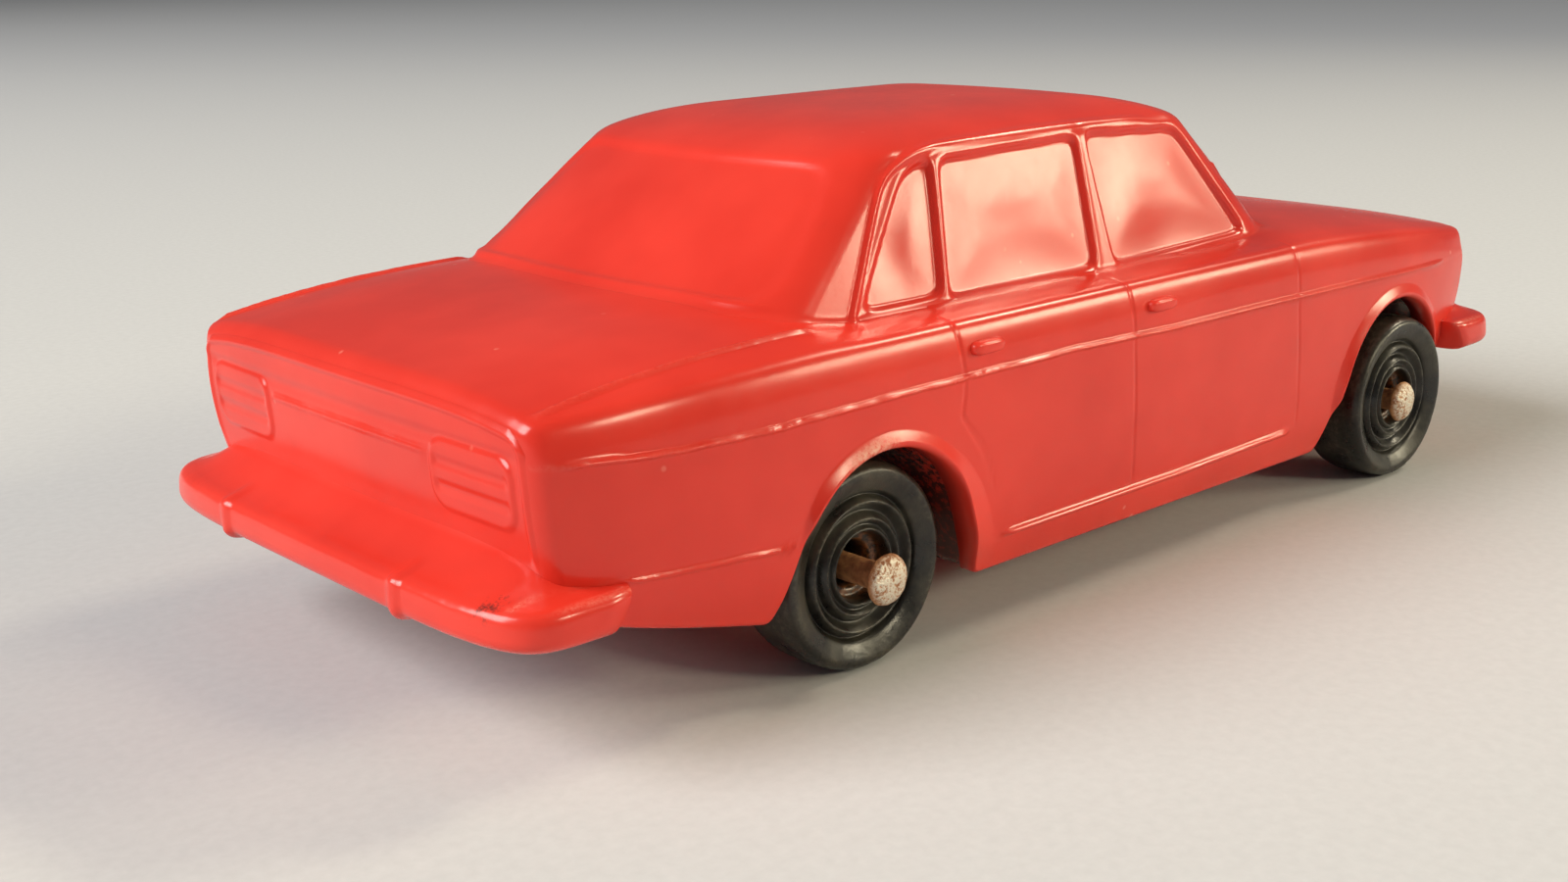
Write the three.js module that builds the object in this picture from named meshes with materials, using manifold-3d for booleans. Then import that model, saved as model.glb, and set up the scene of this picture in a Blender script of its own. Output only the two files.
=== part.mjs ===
import * as THREE from "three";
import { mergeVertices } from "three/addons/utils/BufferGeometryUtils.js";
import Module from "manifold-3d";

const wasm = await Module();
wasm.setup();

// Sizes are in millimetres: +X is forward, +Y is the car's left and Z = 0 is the floor.
const rearOverhang = 36.7; // rear bumper face to rear axle
const wheelbase = 80.5;
const frontOverhang = 23.6; // front axle to front bumper face
const bodyWidth = 57;
const roofHeight = 44;
const wall = 2;
const overallLength = rearOverhang + wheelbase + frontOverhang;
const rearAxleX = -overallLength / 2 + rearOverhang;
const frontAxleX = rearAxleX + wheelbase;

// Lower body: heights of its lines and the way it narrows at the ends.
const sillHeight = 5.2;
const waistHeight = 23.5;
const shoulderHeight = 28.3;
const tailUnderHeight = 11.9;
const noseUnderHeight = 12.7;
const deckCrown = 2.5;
const bonnetCrown = 1.9;
const tailCrown = 1.2;
const noseCrown = 0.7;
const tailDrop = 1.4;
const noseDrop = 3.1;
const tailNarrowing = 2.6;
const noseNarrowing = 2.8;
const tailNarrowFrom = rearAxleX - 7.2;
const noseNarrowFrom = frontAxleX - 12.7;
const tailDropFrom = rearAxleX - 3.2;
const noseDropFrom = frontAxleX - 25.7;
const sillTuck = 1.5;
const endRounding = 1.8;
const tailBow = 0.6; // the tail and nose faces stand this much further out at the middle
const noseBow = 1.3;
const endLean = 1.9; // and this much further in at the bottom
const tailRiseGap = 3.1; // the lower edge starts to rise this far behind the rear axle

// Cabin: feet and heads of the screens on the centre line, and half widths at belt and roof rail.
const beltHeight = 29.4;
const roofRise = 2.5;
const railHeight = roofHeight - roofRise;
const rearScreenFoot = rearAxleX - 10.4;
const rearScreenHead = rearAxleX + 5.2;
const frontScreenFoot = frontAxleX - 13.7;
const frontScreenHead = frontAxleX - 25.5;
const beltHalfWidth = bodyWidth / 2 - 5.4;
const railHalfWidth = beltHalfWidth - 3.5;
const cabinCorner = 3.6;
const screenBow = 2.4;
const sideBow = 0.6;
const cabinSink = 3.2; // depth to which the cabin walls run down into the lower body
const roofFullness = 4;
const cabinWall = 1.8;

// Panes, window rail and body trim.
const paneRecess = 0.45;
const railRaise = 0.5;
const railWidth = 1;
const beadRaise = 0.45;
const beadWidth = 0.9;
const sillBeadHeight = 8.8;
const doorGapDepth = 0.3;
const doorGapWidth = 0.5;
const handleLength = 3.5;
const handleWidth = 1.2;
const handleRaise = 0.9;
const handleHeight = 25.8;

// Bumpers: blade levels, plan shape and guards.
const rearBumper = { direction: -1, reach: 4.7, bottom: 10.9, top: 14.3, shelfTop: 16.2 };
const frontBumper = { direction: 1, reach: 4.45, bottom: 11.8, top: 15.4, shelfTop: 17.4 };
const bumperStandOut = 0.2; // how far a bumper stands out past the body side
const bumperHalfWidth = bodyWidth / 2 + bumperStandOut;
const bumperShelfDepth = 4.4;
const bumperWrap = 10.8; // how far a bumper end runs back along the body side
const bumperSquareness = 5.3;
const guardSpread = 13.6;
const guardWidth = 1.5;

// Lamps and grille.
const tailLampMiddle = 18;
const tailLampHeight = 21.4;
const tailLampWidth = 10.8;
const tailLampDepth = 6;
const lampRaise = 0.5;
const lampRim = 0.8;
const lampBarWidth = 1.1;
const headlampSpread = 18.6;
const headlampHeight = 20;
const headlampRadius = 3.6;
const headlampRaise = 1.1;
const grilleWidth = 21;
const grilleDepth = 5.6;
const grilleHeight = 20;
const grilleRaise = 0.7;
const grilleSlotDepth = 0.55;
const grilleFrame = 0.9;
const grilleSlots = 8;
const grilleBarWidth = 0.9;

// Wheels and axles.
const tyreRadius = 8.95;
const wheelWidth = 7;
const hubRecessRadius = 3.3;
const hubRecessDepth = 2;
const boreRadius = 1.9;
const backRecessDepth = 2.2;
const rodRadius = 1.2;
const rodClearance = 0.3;
const headRadius = 2.3;
const headThickness = 1.2;
const axleReach = bodyWidth / 2 + 0.1; // centre line to the inner face of an axle head
const rearWheelFace = bodyWidth / 2 - 1.65; // centre line to the outer face of a rear wheel
const frontWheelFace = bodyWidth / 2 + 0.4;

// Wheel wells.
const rearArchRadius = 10;
const frontArchRadius = 10.8;
const rearArchShift = 0.8; // arch centre ahead of the rear axle
const frontArchShift = -0.7;
const archHeight = 9.3;
const archRearSlant = 157; // directions in which the straight lower edges leave the round arch
const archFrontSlant = 20;
const archLipWidth = 1.7;
const archLipRaise = 0.5;
const wellWall = 1.8;
const wheelSideGap = 0.35;
const wellFloorHeight = 5.7;

const halfWidthMax = bodyWidth / 2;
const tailX = -overallLength / 2 + rearBumper.reach;
const noseX = overallLength / 2 - frontBumper.reach;
const axleHeight = tyreRadius - (boreRadius - rodRadius - rodClearance);
const cheekOuter = Math.min(rearWheelFace, frontWheelFace) - wheelWidth - wheelSideGap;
const cheekInner = cheekOuter - 2.4;

const lerp = THREE.MathUtils.lerp;
const clamp = THREE.MathUtils.clamp;
const radians = THREE.MathUtils.degToRad;

// Closed body from a geometry: shared corners are welded and the faces are turned outward.
function solid(geometry) {
  const bare = new THREE.BufferGeometry();
  bare.setAttribute("position", geometry.getAttribute("position").clone());
  if (geometry.index) {
    bare.setIndex(geometry.index.clone());
  }
  const welded = mergeVertices(bare, 1e-4);
  const place = welded.getAttribute("position").array;
  const corners = [];
  let volume = 0;
  for (let i = 0; i < welded.index.count; i += 3) {
    const [a, b, c] = [0, 1, 2].map((k) => welded.index.getX(i + k));
    if (a === b || b === c || c === a) {
      continue;
    }
    corners.push(a, b, c);
    const p = new THREE.Vector3().fromArray(place, 3 * a);
    const q = new THREE.Vector3().fromArray(place, 3 * b);
    const r = new THREE.Vector3().fromArray(place, 3 * c);
    volume += p.dot(q.cross(r));
  }
  if (volume < 0) {
    corners.reverse();
  }
  const mesh = new wasm.Mesh({
    numProp: 3,
    vertProperties: Float32Array.from(place),
    triVerts: Uint32Array.from(corners),
  });
  return new wasm.Manifold(mesh);
}

// Closed body through a list of rings with the same number of points, each end closed by a fan.
function loft(rings) {
  const count = rings[0].length;
  const points = rings.flat();
  const faces = [];
  for (let i = 0; i + 1 < rings.length; i += 1) {
    for (let j = 0; j < count; j += 1) {
      const a = i * count + j;
      const b = i * count + ((j + 1) % count);
      faces.push(a, b, b + count, a, b + count, a + count);
    }
  }
  [0, rings.length - 1].forEach((i) => {
    const middle = rings[i].reduce((sum, p) => sum.add(p), new THREE.Vector3());
    points.push(middle.divideScalar(count));
    for (let j = 0; j < count; j += 1) {
      const edge = [i * count + j, i * count + ((j + 1) % count)];
      faces.push(points.length - 1, ...(i === 0 ? edge.reverse() : edge));
    }
  });
  const geometry = new THREE.BufferGeometry().setFromPoints(points);
  geometry.setIndex(faces);
  return solid(geometry);
}

const union = (bodies) => bodies.reduce((sum, body) => sum.add(body));
const cut = (body, cutters) => body.subtract(union(cutters));
const mirrored = (body) => body.mirror([0, 1, 0]);
const bothSides = (body) => body.add(mirrored(body));

// Prism of an (x, z) outline, running across the car from one y to another.
function sidePrism(shape, from, to, curveSegments = 3) {
  const options = { depth: to - from, bevelEnabled: false, curveSegments };
  const geometry = new THREE.ExtrudeGeometry(shape, options);
  geometry.rotateX(Math.PI / 2);
  geometry.translate(0, to, 0);
  return solid(geometry);
}

// Prism of a (y, z) outline, running along the car from one x to another.
function endPrism(shape, from, to, curveSegments = 3) {
  const options = { depth: to - from, bevelEnabled: false, curveSegments };
  const geometry = new THREE.ExtrudeGeometry(shape, options);
  geometry.rotateY(Math.PI / 2);
  geometry.rotateX(Math.PI / 2);
  geometry.translate(from, 0, 0);
  return solid(geometry);
}

function box(x0, x1, y0, y1, z0, z1) {
  const geometry = new THREE.BoxGeometry(x1 - x0, y1 - y0, z1 - z0);
  geometry.translate((x0 + x1) / 2, (y0 + y1) / 2, (z0 + z1) / 2);
  return solid(geometry);
}

// Outline with straight edges and every corner rounded.
function roundedOutline(corners, radius) {
  const shape = new THREE.Shape();
  corners.forEach((corner, i) => {
    const here = new THREE.Vector2(...corner);
    const before = new THREE.Vector2(...corners.at(i - 1));
    const after = new THREE.Vector2(...corners[(i + 1) % corners.length]);
    const start = here.clone().lerp(before, Math.min(0.45, radius / here.distanceTo(before)));
    const end = here.clone().lerp(after, Math.min(0.45, radius / here.distanceTo(after)));
    if (i === 0) {
      shape.moveTo(start.x, start.y);
    } else {
      shape.lineTo(start.x, start.y);
    }
    shape.quadraticCurveTo(here.x, here.y, end.x, end.y);
  });
  return shape;
}

const roundedBox = (u0, u1, v0, v1, radius) =>
  roundedOutline([[u0, v0], [u1, v0], [u1, v1], [u0, v1]], radius);

// Share of the way from a start to an end, held between 0 and 1.
const share = (x, from, to) => clamp((x - from) / (to - from), 0, 1);

const halfWidth = (x) =>
  halfWidthMax
  - tailNarrowing * share(x, tailNarrowFrom, tailX) ** 3
  - noseNarrowing * share(x, noseNarrowFrom, noseX) ** 2.5;

const shoulder = (x) =>
  shoulderHeight
  - tailDrop * share(x, tailDropFrom, tailX) ** 2
  - noseDrop * share(x, noseDropFrom, noseX) ** 2;

const crown = (x) =>
  lerp(deckCrown, bonnetCrown, share(x, tailDropFrom, noseDropFrom))
  - (deckCrown - tailCrown) * share(x, tailDropFrom, tailX) ** 2
  - (bonnetCrown - noseCrown) * share(x, noseDropFrom, noseX) ** 2;

const underHeight = (x) =>
  sillHeight
  + (tailUnderHeight - sillHeight) * share(x, rearAxleX - tailRiseGap, tailX)
  + (noseUnderHeight - sillHeight) * share(x, frontAxleX, noseX);

// Half section of the lower body at a station, from the sill up the side to the middle of the deck.
// The steps say how many chords each stretch between knots has.
function halfSection(x, steps) {
  const b = halfWidth(x);
  const s = shoulder(x);
  const low = underHeight(x);
  const high = waistHeight - 1.5;
  const edge = b - 1;
  const top = (y) => s + crown(x) * (1 - (y / edge) ** 4.5);
  const knots = [
    [b - sillTuck, low],
    [b - 0.37 * sillTuck, lerp(low, high, 0.22)],
    [b - 0.05 * sillTuck, lerp(low, high, 0.58)],
    [b, high],
    [b - 0.25, s - 2.2],
    [b - 1, s - 0.25],
    [b - 2.6, top(b - 2.6)],
    [0.86 * edge, top(0.86 * edge)],
    [0.6 * edge, top(0.6 * edge)],
    [0.3 * edge, top(0.3 * edge)],
    [0, top(0)],
  ];
  const curve = new THREE.CatmullRomCurve3(knots.map(([y, z]) => new THREE.Vector3(0, y, z)));
  const places = steps.flatMap((count, i) => Array.from({ length: count }, (_, k) => i + k / count));
  const points = [...places, steps.length].map((place) => curve.getPoint(place / steps.length));
  return points.map((p) => new THREE.Vector2(p.y, p.z));
}

// Moves a half section outward along its own normals.
function grown(points, offset) {
  return points.map((p, i) => {
    const before = points[Math.max(i - 1, 0)];
    const after = points[Math.min(i + 1, points.length - 1)];
    const normal = new THREE.Vector2(after.y - before.y, before.x - after.x).normalize();
    if (i === points.length - 1) {
      normal.set(0, 1);
    }
    return p.clone().addScaledVector(normal, offset);
  });
}

// The end faces bow outward at the middle and lean in below the waist; the pull fades along the body.
function bowed(x, y, z) {
  const tail = share(x, tailNarrowFrom, tailX) ** 4;
  const nose = share(x, noseNarrowFrom, noseX) ** 4;
  const across = (y / halfWidthMax) ** 2;
  const lean = endLean * clamp((waistHeight - z) / 11, 0, 1) ** 2;
  return new THREE.Vector3(x + tail * (tailBow * across + lean) - nose * (noseBow * across + lean), y, z);
}

// Ring of the lower body at a station; a scale under 1 draws it in toward the middle of an end face.
function bodyRing(x, offset, scale, form) {
  const half = grown(halfSection(x, form.steps), offset);
  if (form.footDrop > 0) {
    half.unshift(new THREE.Vector2(half[0].x, half[0].y - form.footDrop));
  }
  const middle = (half[0].y + half.at(-1).y) / 2;
  const place = (side, p) => bowed(x, side * scale * p.x, lerp(middle, p.y, scale));
  const right = half.map((p) => place(-1, p));
  const left = half.slice(0, -1).reverse().map((p) => place(1, p));
  return [...right, ...left];
}

// Stations at shares of the way from tail to rear axle, from axle to axle and from front axle to nose.
function stationsAt(tail, middle, nose) {
  return [
    ...tail.map((t) => lerp(tailX, rearAxleX, t)),
    ...middle.map((t) => lerp(rearAxleX, frontAxleX, t)),
    ...nose.map((t) => lerp(frontAxleX, noseX, t)),
  ];
}

// Lower body moved out or in by an offset, with rounded edges round the tail and nose faces.
const skinForm = {
  steps: [1, 1, 1, 1, 2, 2, 1, 1, 1, 1],
  stations: stationsAt([0.18, 0.4, 0.62, 0.87], [0.07, 0.29, 0.54, 0.7, 0.82, 0.92], [0.01, 0.35, 0.66]),
  roundingSteps: [90, 55, 25, 0],
  footDrop: 0,
};
const hollowForm = {
  steps: [1, 1, 1, 1, 1, 1, 1, 1, 1, 1],
  stations: stationsAt([0.27, 0.55], [0.12, 0.42, 0.74, 0.96], [0.43]),
  roundingSteps: [90, 20],
  footDrop: 30,
};

function lowerBody(offset, form = skinForm) {
  const endRings = (end, inward) => {
    const face = [0.4, 0.75].map((scale) => bodyRing(end, offset - endRounding, scale, form));
    const edge = form.roundingSteps.map(radians).map((a) => {
      const x = end + inward * endRounding * (1 - Math.sin(a));
      return bodyRing(x, offset - endRounding * (1 - Math.cos(a)), 1, form);
    });
    return [...face, ...edge];
  };
  const tailRings = endRings(tailX - offset, 1);
  const noseRings = endRings(noseX + offset, -1).reverse();
  const middle = form.stations.map((x) => bodyRing(x, offset, 1, form));
  return loft([...tailRings, ...middle, ...noseRings]);
}

// Plan outline of the cabin between two screen stations: bowed ends, round corners, full sides.
function cabinOutline(rear, front, half) {
  const length = (front - rear) / 2;
  const corner = Math.min(cabinCorner, 0.3 * half);
  const quarter = [];
  const run = (from, to, steps) => {
    for (let i = 0; i < steps; i += 1) {
      quarter.push([lerp(from[0], to[0], i / steps), lerp(from[1], to[1], i / steps)]);
    }
  };
  run([length, 0], [length, half - corner], 2);
  for (let i = 0; i < 3; i += 1) {
    const a = radians(30 * i);
    quarter.push([length - corner + corner * Math.cos(a), half - corner + corner * Math.sin(a)]);
  }
  run([length - corner, half], [0, half], 3);
  quarter.push([0, half]);
  const back = quarter.slice(0, -1).reverse().map(([x, y]) => [-x, y]);
  const upper = [...quarter, ...back];
  const lower = upper.slice(1, -1).reverse().map(([x, y]) => [x, -y]);
  return [...upper, ...lower].map(([x, y]) => [
    (rear + front) / 2 + x - Math.sign(x) * screenBow * (y / half) ** 2 * Math.abs(x / length),
    y - Math.sign(y) * sideBow * (x / length) ** 2 * Math.abs(y / half),
  ]);
}

// Cabin moved out or in by an offset: walls from below the belt to the rail, then the domed roof.
function cabin(offset, sink) {
  const rise = railHeight - beltHeight;
  const stretch = (foot, head) => Math.hypot(1, (head - foot) / rise);
  const ringAt = (level, scale, z) => {
    const movedOut = (foot, head, side) => lerp(foot, head, level) + side * offset * stretch(foot, head);
    const rear = movedOut(rearScreenFoot, rearScreenHead, -1);
    const front = movedOut(frontScreenFoot, frontScreenHead, 1);
    const half = movedOut(beltHalfWidth, railHalfWidth, 1);
    const middle = (rear + front) / 2;
    return cabinOutline(rear, front, half).map(([x, y]) =>
      new THREE.Vector3(middle + scale * (x - middle), scale * y, z));
  };
  const walls = [-sink / rise, 0, 0.35, 0.7, 1].map((level) =>
    ringAt(level, 1, lerp(beltHeight, railHeight, level) + (level === 1 ? offset : 0)));
  const dome = [0.94, 0.84, 0.7, 0.5, 0.25].map((q) =>
    ringAt(1, q, railHeight + offset + (roofHeight - railHeight) * (1 - q ** roofFullness)));
  return loft([...walls, ...dome]);
}

// A place on the cabin side: the share of the way from rear screen to windscreen, and from belt to rail.
const onCabin = ([across, level]) => [
  lerp(lerp(rearScreenFoot, rearScreenHead, level), lerp(frontScreenFoot, frontScreenHead, level), across),
  lerp(beltHeight, railHeight, level),
];

// Side pane outlines: quarter light, rear door pane and front door pane.
const sidePanes = [
  { corners: [[0.170, 0.041], [0.289, 0.041], [0.211, 0.868], [0.158, 0.810]].map(onCabin), rounding: 1.4 },
  { corners: [[0.313, 0.025], [0.573, 0.025], [0.591, 0.917], [0.241, 0.901]].map(onCabin), rounding: 1.4 },
  { corners: [[0.603, 0.025], [0.889, 0.025], [0.865, 0.826], [0.628, 0.926]].map(onCabin), rounding: 1.6 },
];
const railRear = [[0.155, -0.033], [0.107, 0.909], [0.222, 0.992]];
const railFront = [[0.595, 1.017], [0.900, 0.934], [0.925, -0.033]];
const railOutline = [...railRear, ...railFront].map(onCabin);
const screenEdge = 2.4; // side edge of a screen pane to the edge of the cabin
const rearScreenPane = { foot: 0.15, head: 0.93, rounding: 2 };
const frontScreenPane = { foot: 0.18, head: 0.93, rounding: 2 };
const doorGaps = [rearAxleX + 9.9, lerp(rearAxleX, frontAxleX, 0.412), frontAxleX - 20.2];
const handleInsets = [4.8, 5.5]; // gap at the rear of a door to the front of its handle
const handleFronts = handleInsets.map((inset, i) => doorGaps[i] + inset);

function screenOutline(pane) {
  const [foot, head] = [pane.foot, pane.head].map((level) => ({
    half: lerp(beltHalfWidth, railHalfWidth, level) - screenEdge,
    z: lerp(beltHeight, railHeight, level),
  }));
  const corners = [[-foot.half, foot.z], [foot.half, foot.z], [head.half, head.z], [-head.half, head.z]];
  return roundedOutline(corners, pane.rounding);
}

// Recesses that make the panes: what each outline cuts between the cabin's skin and a skin further in.
function paneCutters(recessed) {
  const right = sidePanes.map(({ corners, rounding }) =>
    sidePrism(roundedOutline(corners, rounding), -halfWidthMax, -10));
  const rear = endPrism(screenOutline(rearScreenPane), tailX, rearScreenHead + 8.5);
  const front = endPrism(screenOutline(frontScreenPane), frontScreenHead - 9.3, noseX);
  return [bothSides(union(right)), rear, front].map((prism) => prism.subtract(recessed));
}

// Raised rail round the side panes, from the rear pillar over the roof edge to the front pillar.
function windowRail(raised) {
  const outer = sidePrism(roundedOutline(railOutline, 2.2), -halfWidthMax, -12);
  const middle = (rearScreenHead + frontScreenHead) / 2;
  const inset = railOutline.map(([x, z]) => [
    lerp(x, middle, railWidth / 30) + (x > middle ? -0.3 : 0.3),
    z > beltHeight + 5 ? z - 0.8 * railWidth : z - 2,
  ]);
  const inner = sidePrism(roundedOutline(inset, 1.8), -halfWidthMax - 1, -11);
  return bothSides(outer.subtract(inner).intersect(raised));
}

// Wheel arch outline: a round top with a straight edge leaving it on either side.
function archOutline(x, radius, grow, floor) {
  const r = radius + grow;
  const shape = new THREE.Shape();
  const rim = (angle) => [x + r * Math.cos(radians(angle)), archHeight + r * Math.sin(radians(angle))];
  const foot = (angle) => {
    const [u, v] = rim(angle);
    return [u + (v - floor) * Math.tan(radians(angle)), floor];
  };
  shape.moveTo(...foot(archFrontSlant));
  shape.lineTo(...rim(archFrontSlant));
  shape.absarc(x, archHeight, r, radians(archFrontSlant), radians(archRearSlant), false);
  shape.lineTo(...foot(archRearSlant));
  shape.closePath();
  return shape;
}

const arches = [
  { x: rearAxleX + rearArchShift, axle: rearAxleX, radius: rearArchRadius },
  { x: frontAxleX + frontArchShift, axle: frontAxleX, radius: frontArchRadius },
];

// Wheel well on the right: a rounded pocket whose inner cheek carries the axle.
function wheelWell(arch, inside) {
  const outline = archOutline(arch.x, arch.radius, wellWall, wellFloorHeight);
  return sidePrism(outline, -halfWidthMax, -cheekInner, 14).intersect(inside);
}

function archCutter(arch) {
  return sidePrism(archOutline(arch.x, arch.radius, 0, -4), -halfWidthMax - 6, -cheekOuter, 14);
}

function archLip(arch, raised) {
  const outline = archOutline(arch.x, arch.radius, archLipWidth, 0);
  return sidePrism(outline, -halfWidthMax - 3, -cheekOuter - 5, 14).intersect(raised);
}

function axleHole(x) {
  const radius = rodRadius + rodClearance;
  const geometry = new THREE.CylinderGeometry(radius, radius, bodyWidth, 20);
  geometry.translate(x, 0, axleHeight);
  return solid(geometry);
}

// Bumper: stacked plan outlines, each a squared-off half oval; direction is -1 at the tail, +1 at the nose.
function bumper({ direction, bottom, top, shelfTop }) {
  const face = direction * overallLength / 2;
  const levels = [
    [bottom, 0.9],
    [bottom + 0.5, 0.15],
    [lerp(bottom, top, 0.5), 0],
    [top - 0.4, 0.15],
    [top, 0.8],
    [shelfTop, bumperShelfDepth],
  ];
  const rings = levels.map(([z, inset]) => {
    const ring = [];
    for (let i = 0; i <= 24; i += 1) {
      const a = Math.PI * (i / 24 - 0.5);
      const power = 2 / bumperSquareness;
      const out = (bumperWrap - inset) * Math.cos(a) ** power;
      const side = (bumperHalfWidth - inset) * Math.sign(a) * Math.abs(Math.sin(a)) ** power;
      ring.push(new THREE.Vector3(face - direction * (bumperWrap - Math.max(out, 0)), side, z));
    }
    return ring;
  });
  return loft(rings);
}

// Pair of upright guards standing off a bumper face.
function guards({ direction, bottom, top }) {
  const face = direction * overallLength / 2;
  const reach = [face - direction * 3, face];
  const blade = box(Math.min(...reach), Math.max(...reach), guardSpread - guardWidth / 2,
    guardSpread + guardWidth / 2, bottom + 0.4, top + 0.3);
  return bothSides(blade);
}

// Tail lamp on the right: a pad turned to follow the bowed tail, with a raised rim and two bars across it.
function tailLamp() {
  const u = tailLampWidth / 2;
  const v = tailLampDepth / 2;
  const frame = roundedBox(-u, u, -v, v, 1.7);
  frame.holes.push(roundedBox(-u + lampRim, u - lampRim, -v + lampRim, v - lampRim, 1.2));
  const pad = endPrism(roundedBox(-u + 0.2, u - 0.2, -v + 0.2, v - 0.2, 1.6), -0.62 * lampRaise, 4);
  const rim = endPrism(frame, -lampRaise, 3);
  const bars = [-1, 1].map((side) => {
    const z = side * tailLampDepth / 6;
    return box(-lampRaise, 3, -u + 0.4, u - 0.4, z - lampBarWidth / 2, z + lampBarWidth / 2);
  });
  const seat = bowed(tailX, -tailLampMiddle, tailLampHeight);
  const turn = THREE.MathUtils.radToDeg(-2 * tailBow * tailLampMiddle / halfWidthMax ** 2);
  return union([pad, rim, ...bars]).rotate([0, 0, turn]).translate(seat.toArray());
}

// Headlamp on the right: a round bezel with a low domed lens.
function headlamp() {
  const r = headlampRadius;
  const profile = [
    [0, -4], [r, -4], [r, headlampRaise - 0.3], [r - 0.3, headlampRaise], [r - 0.7, headlampRaise],
    [r - 0.9, headlampRaise - 0.5], [0.5 * r, headlampRaise], [0, headlampRaise + 0.2],
  ].map(([x, y]) => new THREE.Vector2(x, y));
  const geometry = new THREE.LatheGeometry(profile, 16);
  geometry.rotateZ(-Math.PI / 2);
  const seat = bowed(noseX, headlampSpread, headlampHeight);
  geometry.translate(seat.x, -headlampSpread, headlampHeight);
  return solid(geometry);
}

// Grille: a flat pad on the nose between the headlamps, with upright slots in it.
function grille() {
  const half = grilleWidth / 2 + grilleFrame;
  const low = grilleHeight - grilleDepth / 2;
  const high = grilleHeight + grilleDepth / 2;
  const front = noseX + grilleRaise;
  const padOutline = roundedBox(-half, half, low - grilleFrame, high + grilleFrame, 1.2);
  const pad = endPrism(padOutline, noseX - 4, front);
  const pitch = grilleWidth / grilleSlots;
  const slots = [];
  for (let i = 0; i < grilleSlots; i += 1) {
    const y = -grilleWidth / 2 + i * pitch + grilleBarWidth / 2;
    slots.push(box(front - grilleSlotDepth, front + 1, y, y + pitch - grilleBarWidth, low, high));
  }
  return cut(pad, slots);
}

// Raised beads and handles on the right side.
function sideTrim(raised) {
  const bead = (from, to, z) => box(from, to, -40, -20, z - beadWidth / 2, z + beadWidth / 2);
  const waist = bead(tailX + 2.4, noseX - 7, waistHeight);
  const sillBead = bead(rearAxleX + 15.8, frontAxleX - 21, sillBeadHeight);
  return union([waist, sillBead]).intersect(raised);
}

function handles(raised) {
  const [low, high] = [-0.5, 0.5].map((side) => handleHeight + side * handleWidth);
  const outlines = handleFronts.map((x) => roundedBox(x - handleLength, x, low, high, 0.5));
  return union(outlines.map((outline) => sidePrism(outline, -40, -20))).intersect(raised);
}

// Shallow grooves between the doors, from the sill bead to the shoulder.
function doorGapCutters(recessed) {
  const grooves = doorGaps.map((x) =>
    box(x - doorGapWidth / 2, x + doorGapWidth / 2, -40, -20, sillBeadHeight + 1, shoulderHeight - 0.4));
  return union(grooves).subtract(recessed);
}

function bodyShell() {
  const skin = lowerBody(0);
  const cabinSkin = cabin(0, cabinSink);
  const raised = lowerBody(beadRaise);
  const lips = arches.map((arch) => archLip(arch, lowerBody(archLipRaise)));
  const right = [
    sideTrim(raised),
    handles(lowerBody(handleRaise)),
    tailLamp(),
    headlamp(),
    ...lips,
  ];
  const outside = union([
    skin,
    cabinSkin,
    windowRail(cabin(railRaise, cabinSink)),
    ...[rearBumper, frontBumper].flatMap((form) => [bumper(form), guards(form)]),
    grille(),
    ...right.map(bothSides),
  ]);
  const hollow = lowerBody(-wall, hollowForm).add(cabin(-cabinWall, cabinSink + 4));
  const shell = outside.subtract(hollow);
  const inside = lowerBody(-wall / 2).add(cabin(-cabinWall / 2, cabinSink));
  const wells = arches.map((arch) => bothSides(wheelWell(arch, inside)));
  const grooves = doorGapCutters(lowerBody(-doorGapDepth));
  return cut(union([shell, ...wells]), [
    ...paneCutters(cabin(-paneRecess, cabinSink)),
    bothSides(grooves),
    ...arches.map((arch) => bothSides(archCutter(arch))),
    ...arches.map((arch) => axleHole(arch.axle)),
  ]);
}

// Wheel profile from the bore out along the face, over the tread and back: radius and depth from the face.
function wheel(axleX, face, side) {
  const r = tyreRadius;
  const h = hubRecessRadius;
  const w = wheelWidth;
  const step = (r - h) / 6;
  const profile = [
    [boreRadius, -hubRecessDepth], [h, -hubRecessDepth], [h, -0.35], [h + 0.6 * step, -0.3],
    [h + 1.1 * step, -0.95], [h + 1.6 * step, -0.25], [h + 2.1 * step, -0.2], [h + 2.65 * step, -0.85],
    [h + 3.3 * step, -0.1], [h + 4.8 * step, 0], [r - 0.4, -0.25], [r, -0.9], [r, -w + 0.9], [r - 0.8, -w],
    [r - 1.5, -w], [r - 1.7, -w + backRecessDepth], [h, -w + backRecessDepth], [h - 0.2, -w],
    [boreRadius, -w],
    [boreRadius, -hubRecessDepth],
  ].map(([x, y]) => new THREE.Vector2(x, side * (face + y)));
  const geometry = new THREE.LatheGeometry(profile, 22);
  geometry.translate(axleX, 0, tyreRadius);
  return solid(geometry);
}

// Axle: a plain rod with a peened head at either end.
function axle(x) {
  const end = [
    [rodRadius, axleReach], [headRadius - 0.25, axleReach], [headRadius, axleReach + 0.25],
    [headRadius, axleReach + 0.55 * headThickness], [0.75 * headRadius, axleReach + 0.9 * headThickness],
    [0.3 * headRadius, axleReach + headThickness], [0, axleReach + headThickness],
  ];
  const otherEnd = end.map(([r, y]) => [r, -y]).reverse();
  const profile = [...otherEnd, ...end].map(([r, y]) => new THREE.Vector2(r, y));
  const geometry = new THREE.LatheGeometry(profile, 14);
  geometry.translate(x, 0, axleHeight);
  return solid(geometry);
}

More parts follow.
